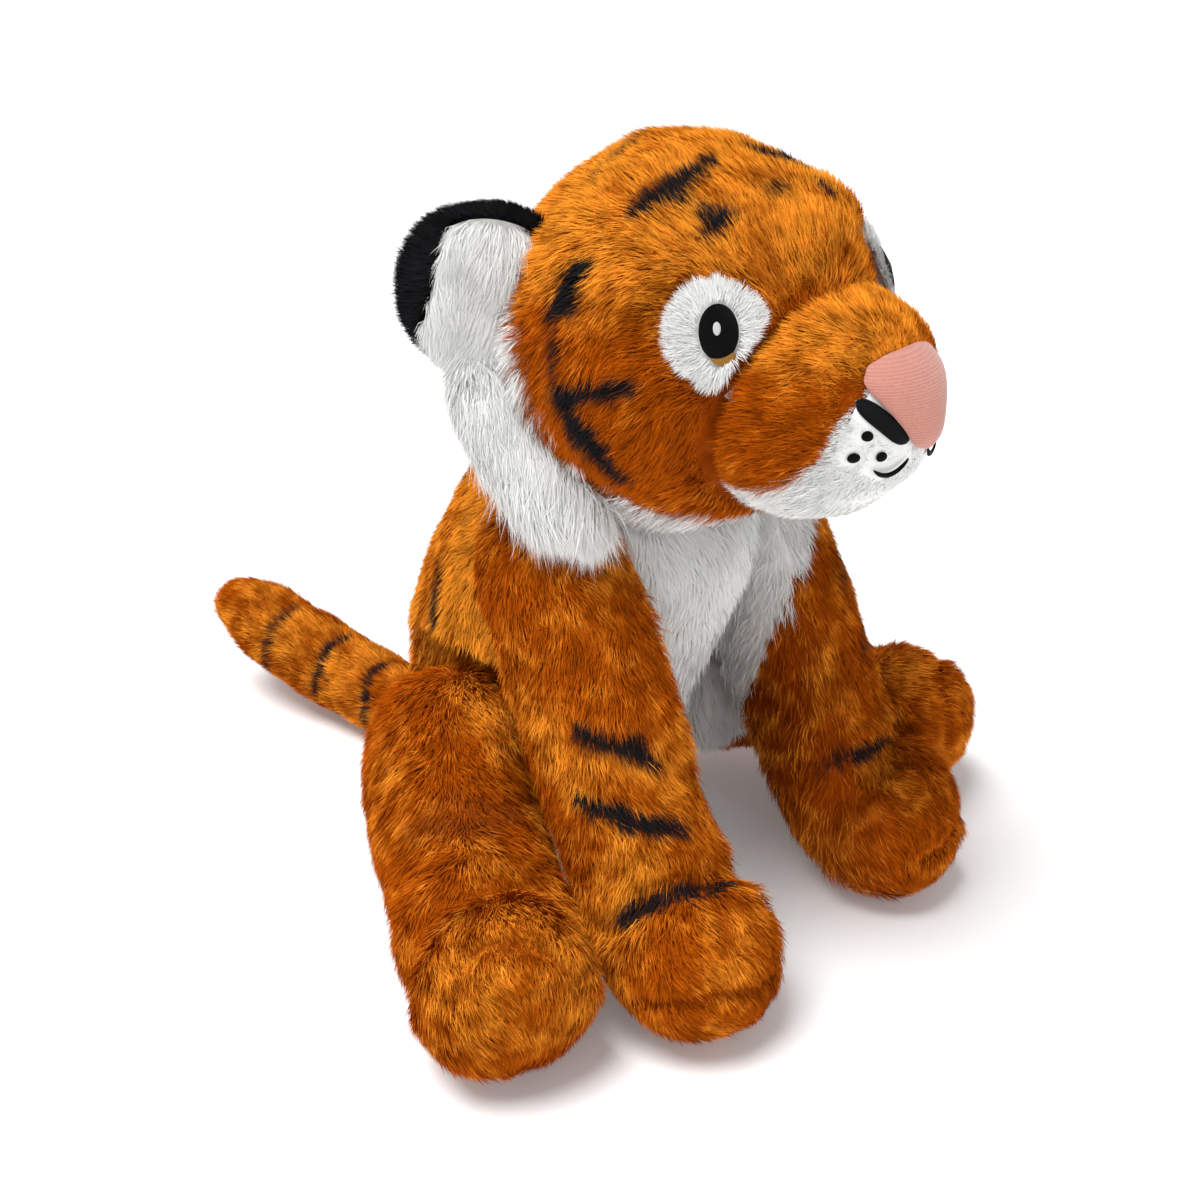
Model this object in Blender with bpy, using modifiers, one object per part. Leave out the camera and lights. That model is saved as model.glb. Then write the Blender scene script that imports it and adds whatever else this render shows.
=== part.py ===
"""A seated plush tiger, piece by piece: sewn covers, the filling inside them, and the trim on its face and chest.

Metres, +Z up. The tiger faces -Y, its right side is at -X, and it sits on z = 0 with the middle of its seat
at the origin. Each stuffed form is a loft of oval sections that swell and taper along a bowed axis. A cover is
the form less the same form one wall smaller, open where it is sewn on, and the filling is a smaller form yet.
"""

import math

import bmesh
import bpy
from mathutils import Matrix, Vector

# Gaps and walls
SEW_GAP = 0.0003
COVER_WALL = 0.0018
FILL_GAP = 0.0017
OVERRUN = 0.04
# how far, in sections, one level of subdivision draws in the end of a form of one side
POLE_DRAW = 5 / 3
# facets
BODY_SIDES = 12
MUZZLE_SIDES = 10
LIMB_SIDES = 8
EAR_SIDES = 10
BALL_SIDES = 20
NECK_SIDES = 24
OPENING_SIDES = 20
SLOT_STEPS = 10
DISC_STEPS = 16
EYE_POINTS = 20
AMBER_POINTS = 14
LIGHT_POINTS = 12
DOT_POINTS = 10
BAND_STEPS = 6
LINE_STEPS = 8

# Torso
TORSO_FOOT = -0.004
TORSO_TOP = 0.160
TORSO_BACK = 0.002
TORSO_LEAN = 0.040
TORSO_BOW = 0.0215
TORSO_WIDTH = 0.107
TORSO_DEPTH = 0.094
# along, bow, across and deep shares
TORSO_SHARES = (
    (0.00, 0.00, 0.00, 0.00),
    (0.01, 0.00, 0.62, 0.62),
    (0.10, 0.24, 0.88, 0.85),
    (0.32, 0.84, 0.98, 0.94),
    (0.54, 0.96, 0.99, 1.03),
    (0.76, 0.48, 0.85, 0.98),
    (0.92, 0.10, 0.74, 0.90),
    (0.99, 0.00, 0.40, 0.42),
    (1.00, 0.00, 0.00, 0.00),
)

# Head
HEAD_BACK = -0.002
HEAD_LENGTH = 0.107
HEAD_HEIGHT_OFF_FLOOR = 0.194
HEAD_WIDTH = 0.118
HEAD_DEPTH = 0.111
HEAD_SHARES = (
    (0.00, 0.00, 0.00, 0.00),
    (0.03, 0.00, 0.46, 0.44),
    (0.14, 0.00, 0.78, 0.76),
    (0.34, 0.00, 0.98, 0.97),
    (0.56, 0.00, 1.00, 0.98),
    (0.76, 0.00, 0.88, 0.84),
    (0.91, 0.00, 0.61, 0.59),
    (0.985, 0.00, 0.34, 0.34),
    (1.00, 0.00, 0.00, 0.00),
)
HEAD_CLEARANCE = 0.0060

# Neck: a ball of stuffing that the head turns and nods on
NECK_RADIUS = 0.028
NECK_BACK = 0.044
NECK_HEIGHT = 0.1495

# Muzzle
MUZZLE_ROOT = 0.070
MUZZLE_LENGTH = 0.0640
MUZZLE_HEIGHT_OFF_FLOOR = 0.187
MUZZLE_DROP = 0.005
MUZZLE_WIDTH = 0.077
MUZZLE_DEPTH = 0.063
MUZZLE_SHARES = (
    (0.00, 0.00, 0.00, 0.00),
    (0.03, 0.00, 0.50, 0.50),
    (0.14, 0.00, 0.86, 0.86),
    (0.38, 0.00, 1.00, 1.00),
    (0.56, 0.00, 0.95, 1.00),
    (0.70, 0.00, 0.83, 0.93),
    (0.82, 0.00, 0.65, 0.79),
    (0.92, 0.00, 0.43, 0.55),
    (0.98, 0.00, 0.18, 0.25),
    (1.00, 0.00, 0.00, 0.00),
)

# Forelegs
SHOULDER_PLANE = 0.028
SHOULDER_Y = -0.0345
SHOULDER_Z = 0.129
SHOULDER_X = 0.0375
FORELEG_TOP_Y = -0.0226
FORELEG_TOP_Z = 0.1486
FORELEG_TOE_X = 0.0485
FORELEG_TOE_Y = -0.1255
FORELEG_TOE_Z = 0.0180
FORELEG_WIDTH = 0.053
FORELEG_DEPTH = 0.055
FORELEG_BOW_Y = 0.0152
FORELEG_BOW_Z = -0.0140
FORELEG_SLOT = 0.0016
# the inner flat of a leg: up and in from its middle, at its foot and where it reaches the shoulder plane
FORELEG_FREE = ((0.032, 0.017), (0.070, 0.028))
FORELEG_OPENING = 0.0140
FORELEG_SWING = (0.0, 15.0)
# degrees of the slot behind a leg at rest
FORELEG_SLOT_BACK = 4.0
FORELEG_HEAD_GAP = 0.0030
FORELEG_SHARES = (
    (0.00, 0.00, 0.00, 0.00),
    (0.03, 0.00, 0.52, 0.50),
    (0.08, 0.02, 0.80, 0.78),
    (0.18, 0.08, 0.92, 0.92),
    (0.43, 0.50, 0.92, 0.95),
    (0.66, 0.97, 0.84, 0.82),
    (0.80, 1.00, 1.02, 1.00),
    (0.91, 0.56, 1.04, 0.92),
    (0.98, 0.12, 0.66, 0.56),
    (1.00, 0.00, 0.00, 0.00),
)

# Hind legs: haunch, shank and foot
HIP_PLANE = 0.036
HIP_Y = -0.005
HIP_Z = 0.050
HIP_SLOT_RADIUS = 0.0445
HIND_ROOT_X = 0.030
HIND_ROOT_Y = 0.005
HIND_ROOT_Z = 0.050
HIND_TOE_X = 0.106
HIND_TOE_Y = -0.0965
HIND_TOE_Z = 0.0225
HIND_BOW = (0.0115, 0.0115, 0.0010)
HAUNCH_SIZE = 0.080
HIND_OPENING = 0.0240
HIND_SHARES = (
    (0.00, 0.00, 0.00, 0.00),
    (0.02, 0.10, 0.66, 0.70),
    (0.09, 0.38, 0.86, 0.94),
    (0.20, 0.80, 0.78, 0.89),
    (0.34, 1.00, 0.66, 0.74),
    (0.50, 1.00, 0.58, 0.61),
    (0.66, 0.85, 0.60, 0.60),
    (0.83, 0.50, 0.74, 0.69),
    (0.95, 0.18, 0.60, 0.55),
    (1.00, 0.00, 0.00, 0.00),
)

# Tail
TAIL_ROOT_Y = 0.043
TAIL_ROOT_Z = 0.022
TAIL_RADIUS = 0.0140
TAIL_TIP = (-0.019, 0.166, 0.0405)
TAIL_BOW = (0.006, 0.0, -0.016)
TAIL_SHARES = (
    (0.00, 0.00, 0.00, 0.00),
    (0.015, 0.03, 0.46, 0.46),
    (0.06, 0.15, 0.86, 0.86),
    (0.30, 0.75, 0.98, 0.98),
    (0.55, 1.00, 1.08, 1.08),
    (0.80, 0.65, 1.16, 1.16),
    (0.94, 0.22, 0.92, 0.92),
    (0.99, 0.04, 0.46, 0.46),
    (1.00, 0.00, 0.00, 0.00),
)

# Pellet bag in the seat
PELLET_WIDTH = 0.060
PELLET_DEPTH = 0.046
PELLET_HEIGHT = 0.034
PELLET_SINK_SHARE = 0.36

# Ears, each turning on the line that it is sewn to the head along
EAR_ROOT = (0.0445, -0.0313, 0.2070)
EAR_CHORD_DIRECTION = (0.255, 0.186, -0.949)
EAR_RISE_DIRECTION = (0.637, 0.707, 0.310)
EAR_WIDTH = 0.050
EAR_THICKNESS = 0.0090
EAR_HEIGHT = 0.033
EAR_DEPTH_IN_HEAD = 0.009
EAR_SEAT_GAP = 0.0006
EAR_SHARES = (
    (0.00, 0.00, 0.00, 0.00),
    (0.02, 0.00, 0.70, 0.16),
    (0.20, 0.00, 0.90, 0.36),
    (0.45, 0.00, 1.00, 0.90),
    (0.70, 0.00, 0.90, 0.96),
    (0.90, 0.00, 0.58, 0.62),
    (1.00, 0.00, 0.00, 0.00),
)

# Cheek ruffs
RUFF_TOP = (0.0560, -0.0200, 0.1860)
RUFF_FOOT = (0.0470, -0.0570, 0.1560)
RUFF_BOW = (0.0070, 0.0060, 0.0)
RUFF_FACING = (0.725, -0.687, 0.066)
RUFF_WIDTH = 0.026
RUFF_THICKNESS = 0.0110
RUFF_SHARES = (
    (0.00, 0.00, 0.00, 0.00),
    (0.05, 0.10, 0.50, 0.55),
    (0.22, 0.60, 0.90, 0.95),
    (0.52, 1.00, 1.00, 1.00),
    (0.80, 0.60, 0.78, 0.90),
    (0.95, 0.15, 0.42, 0.55),
    (1.00, 0.00, 0.00, 0.00),
)

# Panels and embroidery: thicknesses, then outlines
PANEL_THICKNESS = 0.0016
STITCH_THICKNESS = 0.0008
NOSE_THICKNESS = 0.0026
BIB_BELOW_NECK = 0.0035
BIB_TOP = NECK_HEIGHT - BIB_BELOW_NECK
BIB_TIP = 0.046
BIB_HALF_WIDTH = 0.0272
# half-width and height shares, from the tip to the top
BIB_SHARES = ((0.06, 0.00), (0.34, 0.16), (0.66, 0.40), (0.90, 0.66), (1.00, 0.86), (1.00, 1.00))
# two points, along and up, on the line between orange and white pile at the side of the muzzle
CHIN_EDGE = ((-0.098, 0.1608), (-0.136, 0.2011))
MUZZLE_MIDDLE_Y = -0.100
EYE_CENTRE = (0.0330, -0.0890, 0.2095)
EYE_NORMAL = (0.60, -0.72, 0.34)
EYE_PATCH_WIDTH = 0.025
EYE_PATCH_HEIGHT = 0.028
EYE_BLACK_WIDTH = 0.0125
EYE_BLACK_HEIGHT = 0.0165
EYE_AMBER_WIDTH = 0.0088
EYE_AMBER_HEIGHT = 0.0034
EYE_AMBER_DROP = 0.0054
EYE_LIGHT_WIDTH = 0.0030
EYE_LIGHT_HEIGHT = 0.0042
EYE_LIGHT_RISE = 0.0016
NOSE_TOP = 0.2050
NOSE_TIP = 0.1815
NOSE_HALF_WIDTH = 0.0150
# half-width and height shares, from the tip to the top
NOSE_SHARES = ((0.00, 0.00), (0.26, 0.06), (0.62, 0.36), (0.96, 0.66), (1.00, 0.80), (0.82, 0.94), (0.40, 1.00))
LIP_OUTER = (0.0168, 0.1955)
LIP_INNER = (0.0038, 0.1797)
LIP_HALF_WIDTH = 0.0024
LIP_SAG = 0.0004
MOUTH_OUTER = (0.0108, 0.1748)
MOUTH_INNER = (0.0010, 0.1776)
MOUTH_SAG = 0.0022
MOUTH_HALF_WIDTH = 0.0008
DOT_SIZE = 0.0027
# across and up from the middle of the muzzle's front at floor level
DOT_PLACES = ((0.0118, 0.1835), (0.0148, 0.1778), (0.0093, 0.1782))

COLOURS = {
    "orange": (0.62, 0.19, 0.035),
    "white": (0.86, 0.87, 0.86),
    "black": (0.012, 0.013, 0.016),
    "pink": (0.80, 0.40, 0.34),
    "amber": (0.52, 0.27, 0.05),
    "fibre": (0.82, 0.82, 0.80),
    "pellet": (0.55, 0.57, 0.60),
}


class Form:
    """A stuffed form: oval sections that swell and taper along an axis from start to end, bowed to one side."""

    def __init__(self, start, end, bow, across, deep, facing, shares, sides):
        self.start = Vector(start)
        self.end = Vector(end)
        self.bow = Vector(bow)
        self.across = across
        self.deep = deep
        self.facing = Vector(facing)
        self.shares = shares
        self.sides = sides

    def rings(self, inset):
        """The points of each section, drawn in by the inset, and one point for each end."""
        run = self.end - self.start
        unit = run.normalized()
        length = run.length - 2 * inset
        middles = [self.start + unit * (inset + row[0] * length) + self.bow * row[1] for row in self.shares]
        turns = [2 * math.pi * k / self.sides for k in range(self.sides)]
        found = []
        for i, (_, _, wide, thick) in enumerate(self.shares):
            if not wide:
                found.append([middles[i]])
                continue
            tangent = (middles[i + 1] - middles[i - 1]).normalized()
            side = tangent.cross(self.facing).normalized()
            front = side.cross(tangent)
            side *= max(self.across * wide / 2 - inset, SEW_GAP)
            front *= max(self.deep * thick / 2 - inset, SEW_GAP)
            found.append([middles[i] + side * math.cos(t) + front * math.sin(t) for t in turns])
        return middles, found

    def opened(self, inset):
        """The rings of a cage that is smoothed: a little wider, because one level of subdivision draws a ring of n
        points in by 3/4 + cos(360/n) / 4."""
        middles, found = self.rings(inset)
        wider = 1 / (0.75 + 0.25 * math.cos(2 * math.pi / self.sides))
        return [
            ring if len(ring) == 1 else [middle + (point - middle) * wider for point in ring]
            for middle, ring in zip(middles, found)
        ]

    def drawn_in(self, inset):
        """The rings of a plain filling: where one level of subdivision would leave the points of the cage, so that
        the filling fits inside a smoothed cover."""
        middles, found = self.rings(inset)
        last = len(found) - 1
        drawn = []
        for i, ring in enumerate(found):
            if len(ring) == 1:
                beside = middles[1] if i == 0 else middles[last - 1]
                drawn.append([ring[0] + (beside - ring[0]) * POLE_DRAW / self.sides])
                continue
            before, after = found[i - 1], found[i + 1]
            drawn.append([
                (before[min(k, len(before) - 1)] + 6 * point + after[min(k, len(after) - 1)]) / 8
                for k, point in enumerate(ring)
            ])
        return drawn

    def mesh(self, name, inset, smooth):
        """The cage as a mesh: quads between rings, and a fan of triangles at each end."""
        found = self.opened(inset) if smooth else self.drawn_in(inset)
        bm = bmesh.new()
        rings = [[bm.verts.new(point) for point in ring] for ring in found]
        for near, far in zip(rings, rings[1:]):
            for k in range(self.sides):
                n = (k + 1) % self.sides
                if len(near) == 1:
                    bm.faces.new((near[0], far[n], far[k]))
                elif len(far) == 1:
                    bm.faces.new((near[k], near[n], far[0]))
                else:
                    bm.faces.new((near[k], near[n], far[n], far[k]))
        bmesh.ops.recalc_face_normals(bm, faces=bm.faces)
        mesh = bpy.data.meshes.new(name)
        bm.to_mesh(mesh)
        bm.free()
        mesh.shade_smooth()
        return mesh

    def solid(self, name, inset=0.0, smooth=True):
        """The form as an object, smoothed by one level of subdivision unless it is a plain filling."""
        obj = bpy.data.objects.new(name, self.mesh(name, inset, smooth))
        TOOLS.objects.link(obj)
        if smooth:
            soft = obj.modifiers.new("Soft", "SUBSURF")
            soft.levels = 1
            soft.render_levels = 1
        return obj


def clear_scene():
    for obj in list(bpy.data.objects):
        bpy.data.objects.remove(obj, do_unlink=True)


def new_collection(name, hidden):
    made = bpy.data.collections.new(name)
    bpy.context.scene.collection.children.link(made)
    made.hide_render = hidden
    return made


def material(name):
    """A pile, thread or filling of one colour."""
    found = bpy.data.materials.get(name)
    if found:
        return found
    made = bpy.data.materials.new(name)
    made.use_nodes = True
    shader = made.node_tree.nodes["Principled BSDF"]
    shader.inputs["Base Color"].default_value = (*COLOURS[name], 1)
    shader.inputs["Roughness"].default_value = 0.9
    shader.inputs["Metallic"].default_value = 0
    return made


def as_tool(obj):
    obj.hide_render = True
    obj.display_type = "WIRE"
    return obj


def tool_from(name, bm):
    """A cutter from a bmesh, with its faces turned outwards."""
    bmesh.ops.recalc_face_normals(bm, faces=bm.faces)
    mesh = bpy.data.meshes.new(name)
    bm.to_mesh(mesh)
    bm.free()
    obj = bpy.data.objects.new(name, mesh)
    TOOLS.objects.link(obj)
    return as_tool(obj)


def block(name, low, high):
    """A box cutter between two corners."""
    bm = bmesh.new()
    bmesh.ops.create_cube(bm, size=1)
    low, high = Vector(low), Vector(high)
    size = high - low
    bmesh.ops.scale(bm, vec=size, verts=bm.verts)
    bmesh.ops.translate(bm, vec=(low + high) / 2, verts=bm.verts)
    return tool_from(name, bm)


def globe(name, centre, radius, detail=BALL_SIDES):
    """A ball cutter."""
    bm = bmesh.new()
    bmesh.ops.create_uvsphere(bm, u_segments=detail, v_segments=detail // 2, radius=radius)
    bmesh.ops.translate(bm, vec=Vector(centre), verts=bm.verts)
    return tool_from(name, bm)


def prism(name, outline, origin, across, up, before, after):
    """A flat outline in the plane of across and up, carried before and after that plane along its normal."""
    across = Vector(across).normalized()
    normal = across.cross(Vector(up)).normalized()
    up = normal.cross(across)
    bm = bmesh.new()
    flat = [bm.verts.new(Vector(origin) + across * u + up * v - normal * before) for u, v in outline]
    made = bmesh.ops.extrude_face_region(bm, geom=[bm.faces.new(flat)])
    moved = [v for v in made["geom"] if isinstance(v, bmesh.types.BMVert)]
    bmesh.ops.translate(bm, vec=normal * (before + after), verts=moved)
    return tool_from(name, bm)


def boolean(obj, operation, tools):
    for tool in tools:
        step = obj.modifiers.new(operation.title(), "BOOLEAN")
        step.operation = operation
        step.object = as_tool(tool)
    return obj


def cut(obj, *tools):
    return boolean(obj, "DIFFERENCE", tools)


def keep(obj, *tools):
    return boolean(obj, "INTERSECT", tools)


def finish(obj, body, colour):
    """Puts a piece in the toy's collection, on its body's empty, with its origin on that body's joint."""
    for held in list(obj.users_collection):
        held.objects.unlink(obj)
    TIGER.objects.link(obj)
    obj.hide_render = False
    obj.display_type = "TEXTURED"
    obj.data.materials.clear()
    obj.data.materials.append(material(colour))
    obj.data.transform(Matrix.Translation(-PIVOTS[body]))
    obj.parent = bpy.data.objects[body]
    return obj


def pivot(name, place, parent=None):
    """An empty on a body's joint, held by the empty of the body that it turns on."""
    empty = bpy.data.objects.new(name, None)
    TIGER.objects.link(empty)
    PIVOTS[name] = Vector(place)
    empty.location = place
    if parent:
        empty.parent = bpy.data.objects[parent]
        empty.location = PIVOTS[name] - PIVOTS[parent]


def sided(point, s):
    return Vector((s * point[0], point[1], point[2]))


def ellipse(width, height, points, rise=0.0, shift=0.0):
    turns = [2 * math.pi * k / points for k in range(points)]
    return [(shift + width / 2 * math.cos(t), rise + height / 2 * math.sin(t)) for t in turns]


def stroke(ends, sag, half_width, points):
    """A band of thread along a shallow arc: the outline of a curve between two ends that sags in the middle."""
    (u0, v0), (u1, v1) = ends
    length = math.hypot(u1 - u0, v1 - v0)
    square = (-(v1 - v0) / length, (u1 - u0) / length)
    upper, lower = [], []
    for k in range(points + 1):
        t = k / points
        drop = -4 * sag * t * (1 - t)
        width = half_width * math.sqrt(max(1 - (2 * t - 1) ** 4, SEW_GAP))
        u, v = u0 + (u1 - u0) * t, v0 + (v1 - v0) * t
        upper.append((u + square[0] * (drop + width), v + square[1] * (drop + width)))
        lower.append((u + square[0] * (drop - width), v + square[1] * (drop - width)))
    return lower + upper[::-1]


def mirrored_outline(shares, half_width, low, high):
    """The right half of an outline given from its foot to its top, and the same points on the left."""
    half = [(share_u * half_width, low + share_v * (high - low)) for share_u, share_v in shares]
    left = [(-u, v) for u, v in reversed(half) if u > 0]
    return half + left


TORSO = Form(
    (0, TORSO_BACK, TORSO_FOOT),
    (0, -TORSO_LEAN, TORSO_TOP),
    (0, TORSO_BOW, 0),
    TORSO_WIDTH,
    TORSO_DEPTH,
    (0, -1, 0),
    TORSO_SHARES,
    BODY_SIDES,
)
HEAD = Form(
    (0, HEAD_BACK, HEAD_HEIGHT_OFF_FLOOR),
    (0, HEAD_BACK - HEAD_LENGTH, HEAD_HEIGHT_OFF_FLOOR),
    (0, 0, 0),
    HEAD_WIDTH,
    HEAD_DEPTH,
    (0, 0, 1),
    HEAD_SHARES,
    BODY_SIDES,
)
MUZZLE = Form(
    (0, -MUZZLE_ROOT, MUZZLE_HEIGHT_OFF_FLOOR),
    (0, -MUZZLE_ROOT - MUZZLE_LENGTH, MUZZLE_HEIGHT_OFF_FLOOR - MUZZLE_DROP),
    (0, 0, 0),
    MUZZLE_WIDTH,
    MUZZLE_DEPTH,
    (0, 0, 1),
    MUZZLE_SHARES,
    MUZZLE_SIDES,
)
TAIL = Form(
    (0, TAIL_ROOT_Y - TAIL_RADIUS, TAIL_ROOT_Z),
    TAIL_TIP,
    TAIL_BOW,
    2 * TAIL_RADIUS,
    2 * TAIL_RADIUS,
    (0, 0, 1),
    TAIL_SHARES,
    LIMB_SIDES,
)
NECK = (0, -NECK_BACK, NECK_HEIGHT)
TAIL_ROOT = (0, TAIL_ROOT_Y, TAIL_ROOT_Z)


def foreleg(s):
    return Form(
        (s * SHOULDER_X, FORELEG_TOP_Y, FORELEG_TOP_Z),
        (s * FORELEG_TOE_X, FORELEG_TOE_Y, FORELEG_TOE_Z),
        (0, FORELEG_BOW_Y, FORELEG_BOW_Z),
        FORELEG_WIDTH,
        FORELEG_DEPTH,
        (0, -1, 0),
        FORELEG_SHARES,
        LIMB_SIDES,
    )


def hind_leg(s):
    return Form(
        (s * HIND_ROOT_X, HIND_ROOT_Y, HIND_ROOT_Z),
        (s * HIND_TOE_X, HIND_TOE_Y, HIND_TOE_Z),
        sided(HIND_BOW, s),
        HAUNCH_SIZE,
        HAUNCH_SIZE,
        (0, 0, 1),
        HIND_SHARES,
        LIMB_SIDES,
    )


def floor_cutter(inset):
    """Everything under the floor, or under the inside of a cover that stands on it."""
    reach = 2 * TORSO_TOP
    return block("floor_cutter", (-reach, -reach, -OVERRUN), (reach, reach, inset))


def shoulder_slot(s, inset):
    """The space that a foreleg swings in, beside the torso: a fan between its two limits, round at the shoulder."""
    radius = FORELEG_DEPTH / 2 + FORELEG_SLOT + inset
    reach = FORELEG_TOP_Z
    down = math.atan2(FORELEG_TOE_Z - SHOULDER_Z, FORELEG_TOE_Y - SHOULDER_Y)
    back_limit = down - math.radians(FORELEG_SWING[0] - FORELEG_SLOT_BACK)
    front_limit = down - math.radians(FORELEG_SWING[1])
    back = (math.cos(back_limit), math.sin(back_limit))
    front = (math.cos(front_limit), math.sin(front_limit))
    outline = [(reach * back[0] - radius * back[1], reach * back[1] + radius * back[0])]
    start = back_limit + math.pi / 2
    turn = math.pi - math.radians(FORELEG_SWING[1] - FORELEG_SWING[0] + FORELEG_SLOT_BACK)
    steps = SLOT_STEPS
    outline += [
        (radius * math.cos(start + turn * k / steps), radius * math.sin(start + turn * k / steps))
        for k in range(steps + 1)
    ]
    outline.append((reach * front[0] + radius * front[1], reach * front[1] - radius * front[0]))
    return prism(
        "shoulder_slot",
        outline,
        (s * (SHOULDER_PLANE - inset), SHOULDER_Y, SHOULDER_Z),
        (0, 1, 0),
        (0, 0, 1),
        0 if s > 0 else TORSO_WIDTH,
        TORSO_WIDTH if s > 0 else 0,
    )


def hip_slot(s, inset):
    """The flat side of the torso that a haunch is sewn to: a disc round the hip, open to the front."""
    radius = HIP_SLOT_RADIUS + inset
    steps = DISC_STEPS
    turns = [math.pi * k / steps - math.pi / 2 for k in range(steps + 1)]
    disc = [(radius * math.cos(t), radius * math.sin(t)) for t in turns]
    outline = disc + [(-TORSO_DEPTH, radius), (-TORSO_DEPTH, -radius)]
    return prism(
        "hip_slot",
        outline,
        (s * (HIP_PLANE - inset), HIP_Y, HIP_Z),
        (0, 1, 0),
        (0, 0, 1),
        0 if s > 0 else TORSO_WIDTH,
        TORSO_WIDTH if s > 0 else 0,
    )


def torso_cutters(inset):
    """The torso's flats and hollows, each moved in by the inset: shoulders, hips, seat, head and tail root."""
    tools = [shoulder_slot(s, inset) for s in (-1, 1)]
    tools += [hip_slot(s, inset) for s in (-1, 1)]
    tools.append(floor_cutter(inset))
    tools.append(HEAD.solid("head_room", -HEAD_CLEARANCE - inset))
    tools.append(globe("tail_socket", TAIL_ROOT, TAIL_RADIUS + SEW_GAP + inset))
    return tools


def fill_inset():
    return COVER_WALL + FILL_GAP


def neck_socket():
    return globe("neck_socket", NECK, NECK_RADIUS + SEW_GAP, NECK_SIDES)


def make_torso():
    bore = cut(TORSO.solid("torso_bore", COVER_WALL), *torso_cutters(COVER_WALL))
    cover = cut(TORSO.solid("torso_cover"), *torso_cutters(0), bore, neck_socket())
    finish(cover, "torso", "orange")
    stuffing = cut(TORSO.solid("torso_stuffing", fill_inset(), smooth=False), *torso_cutters(fill_inset()))
    cut(stuffing, neck_socket(), pellet_bag("pellet_hollow", SEW_GAP))
    finish(stuffing, "torso", "fibre")
    finish(pellet_bag("pellet_bag", 0), "torso", "pellet")


def pellet_bag(name, swell):
    """A flattened bag on the inside of the seat."""
    bag = globe(name, (0, 0, 0), 1 / 2)
    size = Vector((PELLET_WIDTH, PELLET_DEPTH, PELLET_HEIGHT)) + Vector((2 * swell, 2 * swell, 2 * swell))
    bag.data.transform(Matrix.Diagonal((*size, 1)))
    low = COVER_WALL + SEW_GAP
    bag.data.transform(Matrix.Translation((0, TORSO_BACK, low + PELLET_HEIGHT * (1 / 2 - PELLET_SINK_SHARE / 2))))
    return bag if swell else cut(bag, floor_cutter(low))


def make_head():
    bore = HEAD.solid("head_bore", COVER_WALL)
    finish(cut(HEAD.solid("head_cover"), bore, neck_socket()), "head", "orange")
    finish(cut(HEAD.solid("head_stuffing", fill_inset(), smooth=False), neck_socket()), "head", "fibre")
    finish(globe("neck_stuffing", NECK, NECK_RADIUS, NECK_SIDES), "neck", "fibre")


def make_muzzle():
    bore = MUZZLE.solid("muzzle_bore", COVER_WALL)
    finish(cut(MUZZLE.solid("muzzle_cover"), HEAD.solid("face_cutter", -SEW_GAP), bore), "head", "orange")
    stuffing = MUZZLE.solid("muzzle_stuffing", fill_inset(), smooth=False)
    finish(cut(stuffing, HEAD.solid("face_cutter", -SEW_GAP)), "head", "fibre")


def inner_wedge(s, inset):
    """What lies between the toy's middle and a foreleg: a flat along the shoulder, drawn in towards the paw."""
    (low, low_x), (high, high_x) = FORELEG_FREE
    room = SEW_GAP + inset
    outline = [(0, TORSO_TOP), (high_x + room, TORSO_TOP), (high_x + room, high), (low_x + room, low), (0, low)]
    return prism("inner_wedge", [(s * u, v) for u, v in outline], (0, 0, 0), (1, 0, 0), (0, 0, 1), TORSO_TOP, TORSO_TOP)


def hip_flat(s, inset):
    """Everything between the toy's middle and the flat that a haunch is sewn along."""
    inner, outer = sorted((0, s * (HIP_PLANE + SEW_GAP + inset)))
    return block("hip_flat", (inner, -HAUNCH_SIZE, -HAUNCH_SIZE), (outer, HAUNCH_SIZE, 2 * HAUNCH_SIZE))


def seam_opening(s, plane, centre, radius):
    """The opening that a limb is filled through, inside the seam round its root."""
    turns = [2 * math.pi * k / OPENING_SIDES for k in range(OPENING_SIDES)]
    outline = [(radius * math.cos(t), radius * math.sin(t)) for t in turns]
    place = (s * plane, centre[0], centre[1])
    return prism("seam_opening", outline, place, (0, 1, 0), (0, 0, 1), 2 * COVER_WALL, 2 * COVER_WALL)


def make_foreleg(word, s):
    """A leg and paw, flat where it lies on the torso and where it stands on the floor."""
    body = "foreleg_" + word
    form = foreleg(s)

    def trims(inset):
        return floor_cutter(inset), inner_wedge(s, inset), HEAD.solid("leg_head_room", -FORELEG_HEAD_GAP - inset)

    bore = cut(form.solid("foreleg_bore", COVER_WALL), *trims(COVER_WALL))
    hole = seam_opening(s, SHOULDER_PLANE, (SHOULDER_Y, SHOULDER_Z), FORELEG_OPENING)
    finish(cut(form.solid("foreleg_cover_" + word), *trims(0), bore, hole), body, "orange")
    stuffing = form.solid("foreleg_stuffing_" + word, fill_inset(), smooth=False)
    finish(cut(stuffing, *trims(fill_inset())), body, "fibre")


def make_hind_leg(word, s):
    """A haunch, shank and foot, flat where it lies on the torso and where it stands on the floor."""
    body = "hind_leg_" + word
    form = hind_leg(s)

    def trims(inset):
        return floor_cutter(inset), hip_flat(s, inset)

    bore = cut(form.solid("hind_leg_bore", COVER_WALL), *trims(COVER_WALL))
    hole = seam_opening(s, HIP_PLANE, (HIP_Y, HIP_Z), HIND_OPENING)
    finish(cut(form.solid("hind_leg_cover_" + word), *trims(0), bore, hole), body, "orange")
    stuffing = form.solid("hind_leg_stuffing_" + word, fill_inset(), smooth=False)
    finish(cut(stuffing, *trims(fill_inset())), body, "fibre")


def make_tail():
    """The tail, with a round root in its socket, filled through an opening at that end."""
    opening = globe("tail_opening", TAIL.start, TAIL_RADIUS / 2)
    finish(cut(TAIL.solid("tail_cover"), TAIL.solid("tail_bore", COVER_WALL), opening), "tail", "orange")
    finish(TAIL.solid("tail_stuffing", fill_inset(), smooth=False), "tail", "fibre")


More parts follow.
